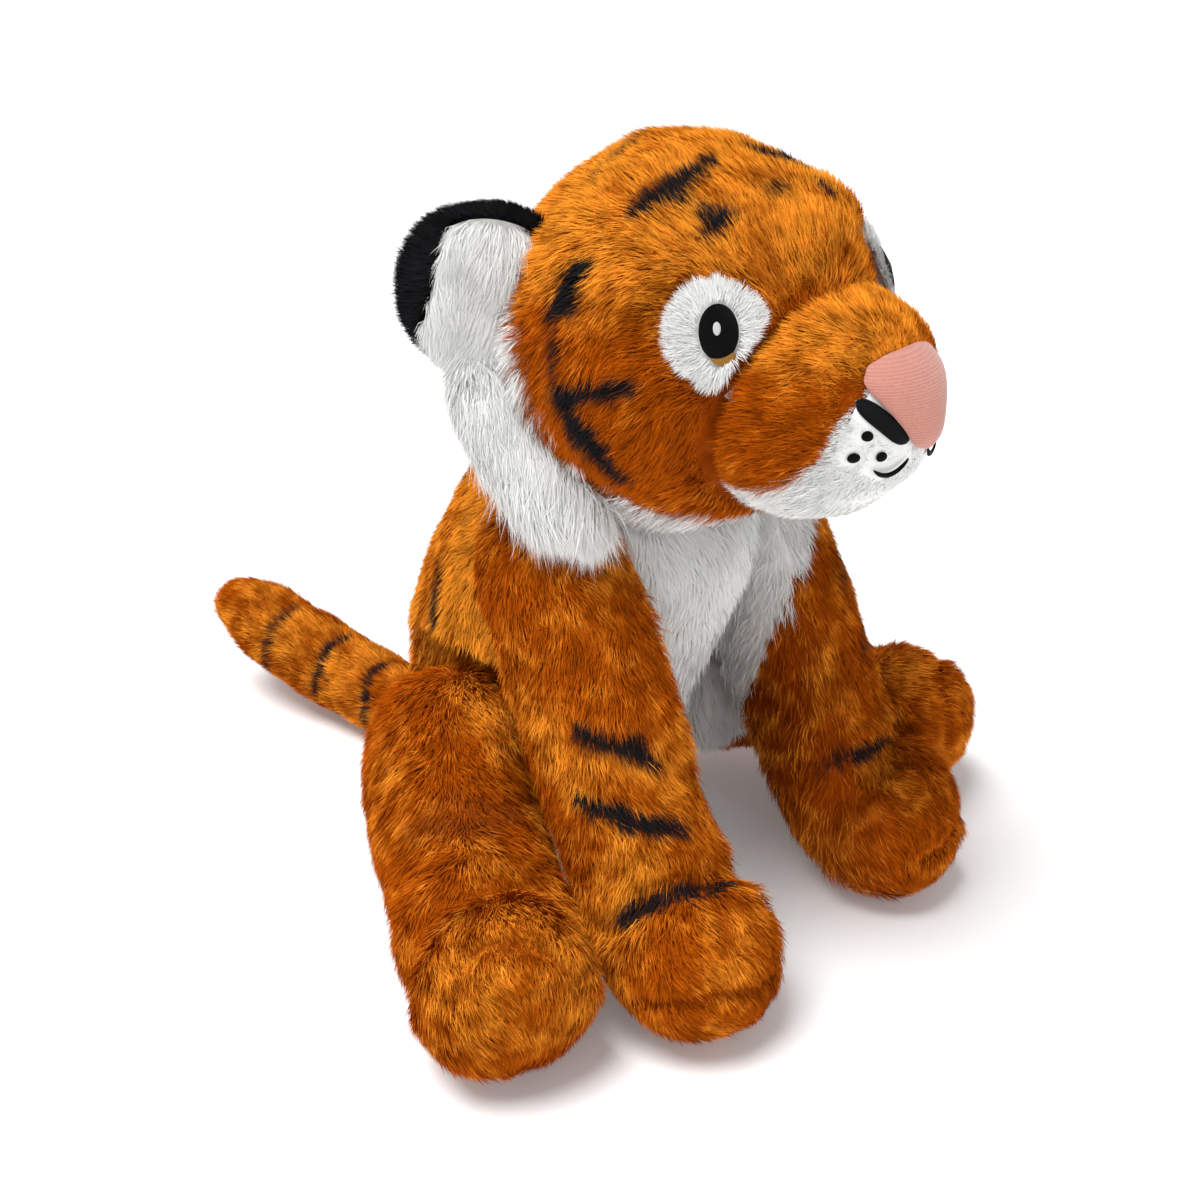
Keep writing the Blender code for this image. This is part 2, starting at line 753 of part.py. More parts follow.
def make_ear(word, s):
    """An ear: a leaf of two layers, thin at its root, parted by a seam."""
    root = sided(EAR_ROOT, s)
    chord = sided(EAR_CHORD_DIRECTION, s).normalized()
    rise = sided(EAR_RISE_DIRECTION, s).normalized()
    normal = chord.cross(rise).normalized()
    front = normal if normal.y < 0 else -normal
    form = Form(
        root - rise * EAR_DEPTH_IN_HEAD,
        root + rise * EAR_HEIGHT,
        (0, 0, 0),
        EAR_WIDTH,
        EAR_THICKNESS,
        front,
        EAR_SHARES,
        EAR_SIDES,
    )
    reach = EAR_WIDTH
    outline = [(-reach, -reach), (reach, -reach), (reach, reach), (-reach, reach)]
    for layer_name, colour, way in (("front", "white", front), ("back", "black", -front)):
        below = reach if way.dot(normal) > 0 else SEW_GAP / 2
        above = SEW_GAP / 2 if way.dot(normal) > 0 else reach
        other_half = prism("other_layer", outline, root, chord, rise, below, above)
        piece = form.solid("ear_" + layer_name + "_" + word)
        finish(cut(piece, other_half, HEAD.solid("ear_seat", -EAR_SEAT_GAP)), "ear_" + word, colour)


def make_ruff(word, s):
    """A pad of long pile behind the cheek, from under the ear to the jaw."""
    form = Form(
        sided(RUFF_TOP, s),
        sided(RUFF_FOOT, s),
        sided(RUFF_BOW, s),
        RUFF_WIDTH,
        RUFF_THICKNESS,
        sided(RUFF_FACING, s),
        RUFF_SHARES,
        LIMB_SIDES,
    )
    finish(cut(form.solid("cheek_ruff_" + word), HEAD.solid("ruff_seat", -SEW_GAP)), "head", "white")


def layer(name, form, outline, lift, thickness, others=()):
    """A piece of cloth or thread lying on a form, cut out by an outline that passes through its surface."""
    piece = keep(form.solid(name, -lift - thickness), outline)
    return cut(piece, form.solid(name + "_seat", -lift), *others)


def make_bib():
    outline = mirrored_outline(BIB_SHARES, BIB_HALF_WIDTH, BIB_TIP, BIB_TOP)
    shape = prism("bib_outline", outline, (0, 0, 0), (1, 0, 0), (0, 0, 1), -SEW_GAP, TORSO_DEPTH)
    room = HEAD.solid("bib_room", -HEAD_CLEARANCE)
    finish(layer("chest_bib", TORSO, shape, SEW_GAP, PANEL_THICKNESS, (room, neck_socket())), "torso", "white")


def chin_wedge():
    """What lies in front of and under the line between orange and white pile on the muzzle."""
    (back_y, back_z), (front_y, front_z) = CHIN_EDGE
    reach = MUZZLE_DEPTH
    outline = [(back_y, back_z), (front_y, front_z), (front_y - reach, front_z)]
    outline += [(front_y - reach, back_z - reach), (back_y, back_z - reach)]
    return prism("chin_wedge", outline, (0, 0, 0), (0, 1, 0), (0, 0, 1), MUZZLE_WIDTH, MUZZLE_WIDTH)


def make_chin():
    seat = HEAD.solid("chin_seat", -SEW_GAP)
    finish(layer("chin_panel", MUZZLE, chin_wedge(), SEW_GAP, PANEL_THICKNESS, (seat,)), "head", "white")


def front_prism(name, outline):
    """An outline on the front of the muzzle, carried forward through its surface."""
    return prism(name, outline, (0, MUZZLE_MIDDLE_Y, 0), (1, 0, 0), (0, 0, 1), 0, MUZZLE_LENGTH)


def on_panel():
    """The lift of what is stitched on a panel."""
    return PANEL_THICKNESS + 2 * SEW_GAP


def nose_outline(swell):
    return mirrored_outline(NOSE_SHARES, NOSE_HALF_WIDTH + swell, NOSE_TIP - swell, NOSE_TOP + swell)


def make_nose():
    shape = front_prism("nose_outline", nose_outline(0))
    finish(layer("nose_patch", MUZZLE, shape, on_panel(), NOSE_THICKNESS), "head", "pink")


def make_mouth(word, s):
    """A lip band, a mouth line and whisker dots, stitched through the chin panel."""
    ends = ((s * LIP_OUTER[0], LIP_OUTER[1]), (s * LIP_INNER[0], LIP_INNER[1]))
    band = front_prism("lip_outline", stroke(ends, s * LIP_SAG, LIP_HALF_WIDTH, BAND_STEPS))
    gap = front_prism("nose_gap", nose_outline(SEW_GAP))
    finish(layer("lip_band_" + word, MUZZLE, band, on_panel(), STITCH_THICKNESS, (gap,)), "head", "black")
    ends = ((s * MOUTH_INNER[0], MOUTH_INNER[1]), (s * MOUTH_OUTER[0], MOUTH_OUTER[1]))
    line = front_prism("mouth_outline", stroke(ends, s * MOUTH_SAG, MOUTH_HALF_WIDTH, LINE_STEPS))
    finish(layer("mouth_line_" + word, MUZZLE, line, on_panel(), STITCH_THICKNESS), "head", "black")
    for i, (u, v) in enumerate(DOT_PLACES):
        dot = front_prism("dot_outline", ellipse(DOT_SIZE, DOT_SIZE, DOT_POINTS, v, s * u))
        name = "whisker_dot_" + word + "_" + str(i + 1)
        finish(layer(name, MUZZLE, dot, on_panel(), STITCH_THICKNESS), "head", "black")


def make_eye(word, s):
    """A white patch, and a black, an amber and a white piece of embroidery on it, each on the one below."""
    centre = sided(EYE_CENTRE, s)
    normal = sided(EYE_NORMAL, s).normalized()
    across = Vector((0, 0, 1)).cross(normal).normalized()
    up = normal.cross(across)
    muzzle = MUZZLE.solid("eye_gap", -SEW_GAP)

    def outline(name, width, height, rise, points):
        before, after = HEAD_WIDTH / 4, HEAD_WIDTH / 4
        return prism(name, ellipse(width, height, points, rise), centre, across, up, before, after)

    patch = outline("patch_outline", EYE_PATCH_WIDTH, EYE_PATCH_HEIGHT, 0, EYE_POINTS)
    finish(layer("eye_patch_" + word, HEAD, patch, SEW_GAP, PANEL_THICKNESS, (muzzle,)), "head", "white")
    lift = on_panel()
    black = outline("black_outline", EYE_BLACK_WIDTH, EYE_BLACK_HEIGHT, 0, EYE_POINTS)
    finish(layer("eye_black_" + word, HEAD, black, lift, STITCH_THICKNESS), "head", "black")
    lift += STITCH_THICKNESS + SEW_GAP
    amber = outline("amber_outline", EYE_AMBER_WIDTH, EYE_AMBER_HEIGHT, -EYE_AMBER_DROP, AMBER_POINTS)
    finish(layer("eye_amber_" + word, HEAD, amber, lift, STITCH_THICKNESS), "head", "amber")
    light = outline("light_outline", EYE_LIGHT_WIDTH, EYE_LIGHT_HEIGHT, EYE_LIGHT_RISE, LIGHT_POINTS)
    finish(layer("eye_highlight_" + word, HEAD, light, lift, STITCH_THICKNESS), "head", "white")


clear_scene()
TIGER = new_collection("Plush tiger", False)
TOOLS = new_collection("Cutters", True)
PIVOTS = {}

pivot("torso", (0, 0, 0))
pivot("neck", NECK, "torso")
pivot("head", NECK, "neck")
pivot("tail", TAIL_ROOT, "torso")
for word, s in (("right", -1), ("left", 1)):
    pivot("foreleg_" + word, (s * SHOULDER_PLANE, SHOULDER_Y, SHOULDER_Z), "torso")
    pivot("hind_leg_" + word, (s * HIP_PLANE, HIP_Y, HIP_Z), "torso")
    pivot("ear_" + word, sided(EAR_ROOT, s), "head")

make_torso()
make_head()
make_muzzle()
make_tail()
make_bib()
make_chin()
make_nose()
for word, s in (("right", -1), ("left", 1)):
    make_foreleg(word, s)
    make_hind_leg(word, s)
    make_ear(word, s)
    make_ruff(word, s)
    make_eye(word, s)
    make_mouth(word, s)
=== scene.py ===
"""The looks of the seated plush tiger, laid out as a Blender add-on: long pile on every sewn form, an
embroidered face, and the stage with the photo's camera.

The tiger faces -Y and its right side is at -X. Each stuffed form is a surface of two numbers: how far along
its rings, and the turn round the ring. Pile is a mesh of kite-shaped strands on a skin just inside the form.
"""

import math

import bpy
import numpy as np
from bpy.props import FloatProperty, FloatVectorProperty, PointerProperty
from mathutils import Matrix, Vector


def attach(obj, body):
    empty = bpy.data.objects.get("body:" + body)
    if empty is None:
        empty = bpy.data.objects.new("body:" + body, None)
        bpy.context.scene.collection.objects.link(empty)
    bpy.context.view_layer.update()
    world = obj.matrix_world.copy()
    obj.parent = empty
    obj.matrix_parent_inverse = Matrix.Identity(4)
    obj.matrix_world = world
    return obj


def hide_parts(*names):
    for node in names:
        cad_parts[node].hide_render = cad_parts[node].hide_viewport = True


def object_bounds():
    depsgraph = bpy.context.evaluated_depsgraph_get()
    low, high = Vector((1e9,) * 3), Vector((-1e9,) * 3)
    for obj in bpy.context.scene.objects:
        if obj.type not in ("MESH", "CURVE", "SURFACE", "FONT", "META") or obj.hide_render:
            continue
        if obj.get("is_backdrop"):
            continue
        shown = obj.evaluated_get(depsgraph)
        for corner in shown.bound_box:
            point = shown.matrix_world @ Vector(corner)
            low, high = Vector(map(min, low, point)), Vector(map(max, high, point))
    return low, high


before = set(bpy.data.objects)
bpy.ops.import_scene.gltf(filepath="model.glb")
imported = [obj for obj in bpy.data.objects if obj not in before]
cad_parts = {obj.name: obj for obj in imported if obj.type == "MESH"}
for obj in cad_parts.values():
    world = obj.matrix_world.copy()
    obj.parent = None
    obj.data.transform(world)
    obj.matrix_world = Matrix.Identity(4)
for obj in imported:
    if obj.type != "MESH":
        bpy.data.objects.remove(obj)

bl_info = {
    "name": "Plush tiger",
    "version": (1, 0, 0),
    "blender": (4, 5, 0),
    "location": "3D View > Sidebar > Tiger",
    "description": "Builds a seated plush tiger with long pile and embroidered face",
    "category": "Add Mesh",
}

SIDES = (("right", -1), ("left", 1))
FLOOR_GAP = 0.0003
MOST_STRANDS = 72000

# Forms: start, end, bow, width, depth, facing and shares of (along, bow, width, depth), as in the part's
# source. A form that has two sides is given for the left.
TORSO = (
    (0, 0.002, -0.004), (0, -0.040, 0.160), (0, 0.0215, 0), 0.107, 0.094, (0, -1, 0),
    ((0, 0, 0, 0), (0.01, 0, 0.62, 0.62), (0.10, 0.24, 0.88, 0.85), (0.32, 0.84, 0.98, 0.94),
     (0.54, 0.96, 0.99, 1.03), (0.76, 0.48, 0.85, 0.98), (0.92, 0.10, 0.74, 0.90), (0.99, 0, 0.40, 0.42),
     (1, 0, 0, 0)),
)
HEAD = (
    (0, -0.002, 0.194), (0, -0.109, 0.194), (0, 0, 0), 0.118, 0.111, (0, 0, 1),
    ((0, 0, 0, 0), (0.03, 0, 0.46, 0.44), (0.14, 0, 0.78, 0.76), (0.34, 0, 0.98, 0.97), (0.56, 0, 1, 0.98),
     (0.76, 0, 0.88, 0.84), (0.91, 0, 0.61, 0.59), (0.985, 0, 0.34, 0.34), (1, 0, 0, 0)),
)
MUZZLE = (
    (0, -0.070, 0.187), (0, -0.1340, 0.182), (0, 0, 0), 0.077, 0.063, (0, 0, 1),
    ((0, 0, 0, 0), (0.03, 0, 0.5, 0.5), (0.14, 0, 0.86, 0.86), (0.38, 0, 1, 1), (0.56, 0, 0.95, 1),
     (0.70, 0, 0.83, 0.93), (0.82, 0, 0.65, 0.79), (0.92, 0, 0.43, 0.55), (0.98, 0, 0.18, 0.25),
     (1, 0, 0, 0)),
)
FORELEG = (
    (0.0375, -0.0226, 0.1486), (0.0485, -0.1255, 0.0180), (0, 0.0152, -0.0140), 0.053, 0.055, (0, -1, 0),
    ((0, 0, 0, 0), (0.03, 0, 0.52, 0.50), (0.08, 0.02, 0.80, 0.78), (0.18, 0.08, 0.92, 0.92),
     (0.43, 0.50, 0.92, 0.95), (0.66, 0.97, 0.84, 0.82), (0.80, 1, 1.02, 1), (0.91, 0.56, 1.04, 0.92),
     (0.98, 0.12, 0.66, 0.56), (1, 0, 0, 0)),
)
HIND_LEG = (
    (0.030, 0.005, 0.050), (0.106, -0.0965, 0.0225), (0.0115, 0.0115, 0.0010), 0.080, 0.080, (0, 0, 1),
    ((0, 0, 0, 0), (0.02, 0.10, 0.66, 0.70), (0.09, 0.38, 0.86, 0.94), (0.20, 0.80, 0.78, 0.89),
     (0.34, 1, 0.66, 0.74), (0.50, 1, 0.58, 0.61), (0.66, 0.85, 0.60, 0.60), (0.83, 0.50, 0.74, 0.69),
     (0.95, 0.18, 0.60, 0.55), (1, 0, 0, 0)),
)
TAIL = (
    (0, 0.029, 0.022), (-0.019, 0.166, 0.0405), (0.006, 0, -0.016), 0.028, 0.028, (0, 0, 1),
    ((0, 0, 0, 0), (0.015, 0.03, 0.46, 0.46), (0.06, 0.15, 0.86, 0.86), (0.30, 0.75, 0.98, 0.98),
     (0.55, 1, 1.08, 1.08), (0.80, 0.65, 1.16, 1.16), (0.94, 0.22, 0.92, 0.92), (0.99, 0.04, 0.46, 0.46),
     (1, 0, 0, 0)),
)
RUFF = (
    (0.0555, -0.0180, 0.1930), (0.0450, -0.0590, 0.1545), (0.0040, 0.0030, 0), 0.026, 0.0110,
    (0.725, -0.687, 0.066),
    ((0, 0, 0, 0), (0.05, 0.10, 0.50, 0.55), (0.22, 0.60, 0.90, 0.95), (0.52, 1, 1, 1),
     (0.80, 0.60, 0.78, 0.90), (0.95, 0.15, 0.42, 0.55), (1, 0, 0, 0)),
)
EAR_ROOT = (0.0445, -0.0313, 0.2070)
EAR_CHORD = (0.255, 0.186, -0.949)
EAR_RISE = (0.637, 0.707, 0.310)
EAR_SHARES = (
    (0, 0, 0, 0), (0.02, 0, 0.70, 0.16), (0.20, 0, 0.90, 0.36), (0.45, 0, 1, 0.90), (0.70, 0, 0.90, 0.96),
    (0.90, 0, 0.58, 0.62), (1, 0, 0, 0),
)
EAR_WIDTH, EAR_THICKNESS, EAR_HEIGHT, EAR_SUNK = 0.050, 0.0090, 0.033, 0.009
NECK, NECK_RADIUS = (0, -0.044, 0.1495), 0.028

# Planes that the legs are sewn along, the room on both sides of such a seam, and the round of the hip, whose
# middle is (y, z). Below its plane the foreleg's inner side is free: heights and how far out it lies there.
SHOULDER_PLANE, HIP_PLANE, SEAM_ROOM = 0.028, 0.036, 0.003
HIP, HIP_RADIUS = (-0.005, 0.050), 0.0445
FORELEG_FREE = ((0.032, 0.070), (0.017, 0.028))
# The shoulder's seam starts at the foot's height. It reaches back to y = SHOULDER_BACK at the height
# SHOULDER_TOP, and less far by the slope below that.
SHOULDER_FOOT, SHOULDER_BACK, SHOULDER_SLOPE, SHOULDER_TOP = 0.075, -0.012, 0.35, 0.15
# Room that the torso leaves under the head, how deep the filling lies, and the height of the soles
HEAD_CLEARANCE, FILLING_DEPTH, SOLE = 0.0060, 0.0065, 0.006

# Edge of the white pile on the muzzle as (y, z), the bib and the white between the forelegs, and the eye
CHIN_EDGE = (
    (-0.0850, 0.1685), (-0.1020, 0.1693), (-0.1139, 0.1737), (-0.1209, 0.1795), (-0.1234, 0.1857),
    (-0.1252, 0.1950), (-0.1275, 0.2011), (-0.1400, 0.2020),
)
BELLY_WHITE = ((0.010, 0.048), (0.060, 0.044), (0.100, 0.036), (0.125, 0.034), (0.150, 0.030))
# White on the left foreleg at each height: how far out it reaches on the front, which starts at y, and how
# far forward on the inner side, which ends at x
LEG_WHITE = (
    (0.040, 0.0, -0.0480), (0.056, 0.0, -0.0545), (0.070, 0.0, -0.0590), (0.088, 0.0, -0.0650),
    (0.098, 0.0250, -0.0680), (0.110, 0.0310, -0.0716), (0.1222, 0.0430, -0.0720), (0.140, 0.0620, -0.0720),
)
LEG_WHITE_FRONT, LEG_WHITE_SIDE = -0.056, 0.0350
# White on the left haunch, beside the white belly: how far out and how far back it reaches
HAUNCH_WHITE = (0.052, -0.012)
BIB_TOP, BIB_TIP, BIB_HALF_WIDTH = 0.146, 0.046, 0.0272
BIB_SHARES = ((0.06, 0), (0.34, 0.16), (0.66, 0.40), (0.90, 0.66), (1, 0.86), (1, 1))
BIB_EDGE = 0.0025
# The eyes' patches lie past this ring of the head
EYE_CENTRE, EYE_NORMAL, EYE_RING = (0.0330, -0.0890, 0.2095), (0.60, -0.72, 0.34), 3.6
# How far the bib and the chin stand out over the pile beside them, the depth of the roots round the eyes and
# in the ruffs, and the widths of white strands
BIB_RISE, CHIN_RISE, EYE_DEPTH, RUFF_DEPTH = 0.0008, 0.0006, 0.0012, 0.0040
WHITE_WIDTH, FINE_WIDTH = 0.00026, 0.00024

# Thread on the muzzle as (x, z): a lip from its outer to its inner end, half of the mouth, and the dots
LIP, LIP_SAG, LIP_HALF_WIDTH = ((0.0182, 0.1960), (0.0062, 0.1836)), 0.0003, 0.0026
MOUTH, MOUTH_SAG, MOUTH_HALF_WIDTH = ((0.0046, 0.1786), (0.0146, 0.1770)), 0.0030, 0.0008
# The left half lies deeper, so that the photo's camera doesn't see it stand out past the muzzle's edge
MOUTH_LIFT = {"right": -0.0009, "left": -0.0014}
# Thread lies in front of this y. It falls on the muzzle from before it, within this reach.
THREAD_BACK, BEFORE_MUZZLE, MUZZLE_REACH = -0.105, -0.150, 0.05
DOTS, DOT_RADIUS = ((0.0168, 0.1868), (0.0198, 0.1812), (0.0130, 0.1806)), 0.0014

# Stripes on each form, as (ring, turn in degrees) from one end to the other, half the width in metres, and
# how dark. They are given for the right side.
HEAD_STRIPES = (
    (((3.84, 37), (3.78, 30), (3.70, 22)), 0.0048, 0.95),
    (((3.72, 20), (3.80, 8), (3.92, -2)), 0.0022, 0.7),
    (((3.85, 2), (4.45, 4), (5.0, 7)), 0.0030, 0.95),
    (((3.90, 2), (4.35, -12), (4.62, -29)), 0.0046, 1.0),
    (((4.20, 53), (4.31, 65), (4.33, 82)), 0.0044, 0.95),
    (((4.94, 62), (5.14, 61)), 0.0050, 1.0),
    (((5.12, 85), (5.20, 90)), 0.0040, 0.6),
    (((3.30, 58), (3.15, 74), (3.10, 88)), 0.0024, 0.5),
    (((2.20, 40), (2.00, 66), (1.95, 88)), 0.0032, 0.8),
    (((1.80, 12), (1.55, 50), (1.50, 80)), 0.0030, 0.8),
)
TORSO_STRIPES = (
    (((4.60, 213), (4.42, 203), (4.20, 196)), 0.0030, 0.85),
    (((5.20, 214), (5.05, 208)), 0.0024, 0.5),
    (((5.40, 262), (5.20, 246), (5.05, 234)), 0.0034, 0.85),
    (((4.60, 266), (4.45, 250), (4.35, 238)), 0.0036, 0.85),
    (((3.90, 264), (3.75, 250), (3.70, 238)), 0.0036, 0.85),
    (((3.20, 262), (3.05, 250), (3.05, 240)), 0.0036, 0.8),
)
FORELEG_STRIPES = {
    "right": (
        (((3.83, 28), (3.97, 44), (4.08, 62), (4.29, 74)), 0.0036, 0.95),
        (((4.35, 15), (4.51, 34), (4.67, 52), (4.87, 81)), 0.0036, 0.95),
        (((5.66, 16), (5.55, 35), (5.57, 60), (5.91, 99)), 0.0030, 0.9),
    ),
    "left": (
        (((3.45, 28), (3.55, 44), (3.65, 60), (3.76, 80)), 0.0034, 0.6),
        (((4.00, 15), (4.10, 34), (4.20, 52), (4.36, 81)), 0.0034, 0.6),
        (((5.24, 148), (5.28, 111), (5.37, 68)), 0.0030, 0.9),
    ),
}
# On the hind legs the dark marks are painted shade: faint wide stripes over the haunch and above the foot.
HIND_SHADE_STRIPES = (
    (((4.85, 60), (4.90, 91), (4.70, 126)), 0.0100, 0.30),
    (((6.30, 64), (6.56, 84)), 0.0080, 0.22),
    (((2.74, 124), (2.95, 150)), 0.0070, 0.25),
)
TAIL_STRIPES = tuple(
    (((ring, 84), (ring + 0.05, 120), (ring, 170), (ring, 214)), 0.0022, strength)
    for ring, strength in ((3.45, 0.85), (4.15, 0.85), (4.92, 0.7), (2.75, 0.6))
)
# White pile on the head behind the face, under the ear and down to the jaw
HEAD_WHITES = (
    (((2.30, 24), (2.55, 0), (2.85, -22), (3.25, -40), (3.85, -55), (4.60, -66)), 0.0150, 1.0),
    (((3.40, -70), (4.60, -84)), 0.0140, 1.0),
)
# Seams where the pile parts: between the toes of a paw, and along the edge of a sole
TOE_SEAM = ((7.46, 78), (6.60, 77), (5.90, 79))
PAW_SEAM = ((6.79, -6), (7.71, 15), (8.20, 48), (8.50, 80), (8.20, 120))
FOOT_SEAM = ((7.49, 40), (7.15, 55), (7.06, 69), (7.13, 84), (7.33, 103), (7.71, 121), (7.98, 144))
FORELEG_SEAMS = ((*TOE_SEAM, (5.40, 81)), PAW_SEAM)
HIND_SEAMS = (FOOT_SEAM,)
# Creases where the pile sinks: over the ball of a paw and behind the ball of a hind foot, and along the
# seams, each with its depth and half its width
FORELEG_CREASES = (
    (((5.66, 0), (5.60, 20), (5.50, 45), (5.52, 75), (5.70, 100), (5.90, 130), (6.10, 165)), 0.0030, 0.0075),
    (TOE_SEAM, 0.0016, 0.0060),
    (PAW_SEAM, 0.0012, 0.0050),
)
HIND_CREASES = (
    (((6.60, -8), (6.45, 12), (6.29, 35), (6.16, 63), (6.09, 104), (6.20, 140), (6.80, 156), (7.20, 172)),
     0.0042, 0.0095),
    (FOOT_SEAM, 0.0010, 0.0045),
)
# Where the hind leg swells to meet the foreleg
HIND_SWELL = (((4.8, 176), (6.4, 174)), -0.0050, 0.0180)
# Reach of the eye's white patch from its middle in mm, by the turn in degrees from the side towards the nose
EYE_REACH = (
    (0, 9.0), (12, 11.0), (32, 11.5), (50, 11.7), (68, 10.8), (90, 11.4), (140, 11.8), (180, 12.0),
    (203, 11.9), (242, 11.8), (258, 13.2), (270, 12.3), (285, 8.4), (307, 6.7), (335, 6.9), (360, 9.0),
)
# On the left the patch is wider by this share towards the nose, round this turn in degrees
EYE_WIDER, EYE_WIDER_TURN = 0.35, 35
# Embroidery of an eye as (width, height), (shift to the nose, shift up), lift and dome
EYE_BLACK = ((0.0104, 0.0144), (0, 0), -0.0002, 0.0012)
EYE_AMBER = ((0.0064, 0.0044), (0.0009, -0.0062), -0.0001, 0.0004)
EYE_HIGHLIGHT = ((0.0020, 0.0034), (-0.0007, 0.0009), 0.0010, 0.0003)
# Half of the nose's outline as (x, z), and its middle
NOSE_OUTLINE = (
    (0.0, 0.1802), (0.0046, 0.1820), (0.0092, 0.1892), (0.0150, 0.1973), (0.0158, 0.2004), (0.0130, 0.2038),
    (0.0062, 0.2054), (0.0, 0.2056),
)
NOSE_MIDDLE = (0.0, 0.1965)
BLACK_THREAD = (0.004, 0.004, 0.005)

# Relief of the head. The crease beside the muzzle has a depth, a share by which pile is shorter in it, and a
# reach as a multiple of the muzzle's size. Lobes are centre, radius and height.
CREASE_DEPTH, CREASE_SHORTER, MUZZLE_NEAR = 0.0026, 0.65, 1.22
HEAD_LOBES = (
    ((0.0520, -0.0700, 0.1830), 0.0240, 0.0026),
    ((0.0420, -0.0700, 0.2260), 0.0180, 0.0024),
    ((0.0000, -0.0960, 0.2260), 0.0200, 0.0030),
    ((0.0230, -0.0740, 0.2400), 0.0240, -0.0015),
    ((0.0000, -0.0400, 0.2480), 0.0240, 0.0012),
)
CHIN_LOBE = ((0.0, -0.1290, 0.1600), 0.0260, -0.0016)

# The photo's camera: azimuth and elevation in degrees, the point it looks at, its distance to that, and its
# focal length in mm
CAMERA_ANGLES, CAMERA_TARGET = (-46.7, 27.7), (0, -0.0176, 0.094)
CAMERA_DISTANCE, CAMERA_LENS = 0.575, 53.6
FLOOR_HALF = 2.0


def length_setting(name, text, default, most=0.02, least=0.002):
    return FloatProperty(name=name, description=text, default=default, min=least, max=most, unit="LENGTH")


def colour_setting(name, text, default):
    return FloatVectorProperty(name=name, description=text, default=default, subtype="COLOR", min=0, max=1)


class TigerSettings(bpy.types.PropertyGroup):
    """Sizes and colours of the pile and the embroidery."""

    body_pile: length_setting("Body pile", "Length of the pile on body, legs and head", 0.0070)
    ear_pile: length_setting("Ear pile", "Length of the pile on the ears", 0.0044)
    ruff_pile: length_setting("Ruff pile", "Length of the white pile behind the cheeks", 0.0120, 0.03)
    strand_width: length_setting("Strand width", "Width of a strand at its middle", 0.00034, 0.002, 0.0001)
    skin_inset: length_setting("Skin inset", "Depth of the skin inside the pile's outline", 0.0019, 0.01, 0)
    root_depth: length_setting("Root depth", "Depth of the roots inside the pile's outline", 0.0031, 0.01, 0)
    strands: FloatProperty(
        name="Strands", description="Strands on a square centimetre", default=440, min=20, max=800,
    )
    # The root colours are darker than the tips: painted shade deep in the pile.
    orange_shaded_root: colour_setting("Orange root", "Orange pile near the cloth", (0.21, 0.030, 0.0012))
    orange_tip: colour_setting("Orange tip", "Orange pile at its tips", (0.54, 0.104, 0.002))
    # Gold tips colour the paler patches, and also painted light on the tops of the head and muzzle.
    gold_tip: colour_setting("Gold tip", "The paler patches of the orange pile", (0.98, 0.36, 0.028))
    white_shaded_root: colour_setting("White root", "White pile near the cloth", (0.85, 0.85, 0.83))
    white_tip: colour_setting("White tip", "White pile at its tips", (0.90, 0.90, 0.885))
    black_shaded_root: colour_setting("Black root", "Black pile near the cloth", (0.004, 0.004, 0.005))
    black_tip: colour_setting("Black tip", "Black pile at its tips", (0.017, 0.017, 0.019))
    nose_colour: colour_setting("Nose", "Short nap of the nose", (0.66, 0.30, 0.235))
    amber_colour: colour_setting("Amber thread", "Iris thread", (0.47, 0.22, 0.03))


def settings():
    return bpy.context.scene.tiger


def unit(vectors):
    return vectors / np.maximum(np.linalg.norm(vectors, axis=-1, keepdims=True), 1e-12)


def smooth(values, low, high):
    """0 below low, 1 above high, and 3s^2 - 2s^3 of the share s between them."""
    share = np.clip((values - low) / (high - low), 0, 1)
    return share * share * (3 - 2 * share)


def waves(points, size, seed):
    """A slowly changing number from -1 to 1 at each point: the mean of six sines, each along its own way."""
    rng = np.random.default_rng(seed)
    ways = unit(rng.normal(size=(6, 3))) * rng.uniform(0.6, 1.4, (6, 1)) * 2 * math.pi / size
    return np.sin(points @ ways.T + rng.uniform(0, 6, 6)).mean(axis=-1) * 1.6


def sided(vector, s):
    """A vector that is given for the left, on the side s."""
    return np.array(vector, float) * (s, 1, 1)


def turned_grid(rows, columns, first=0.0, last=1.0):
    """Numbers from first to last down the rows, and a whole turn along the columns."""
    turns = np.linspace(0, 2 * math.pi, columns)
    return np.meshgrid(np.linspace(first, last, rows), turns, indexing="ij")


def grid_quads(rows, columns):
    i, j = np.meshgrid(np.arange(rows - 1), np.arange(columns - 1), indexing="ij")
    k = (i * columns + j).ravel()
    return np.stack([k, k + 1, k + columns + 1, k + columns], axis=1)


def cell_areas(points):
    """The area of each cell of a grid of points."""
    along, across = points[1:, :-1] - points[:-1, :-1], points[:-1, 1:] - points[:-1, :-1]
    return np.linalg.norm(np.cross(along, across), axis=-1)


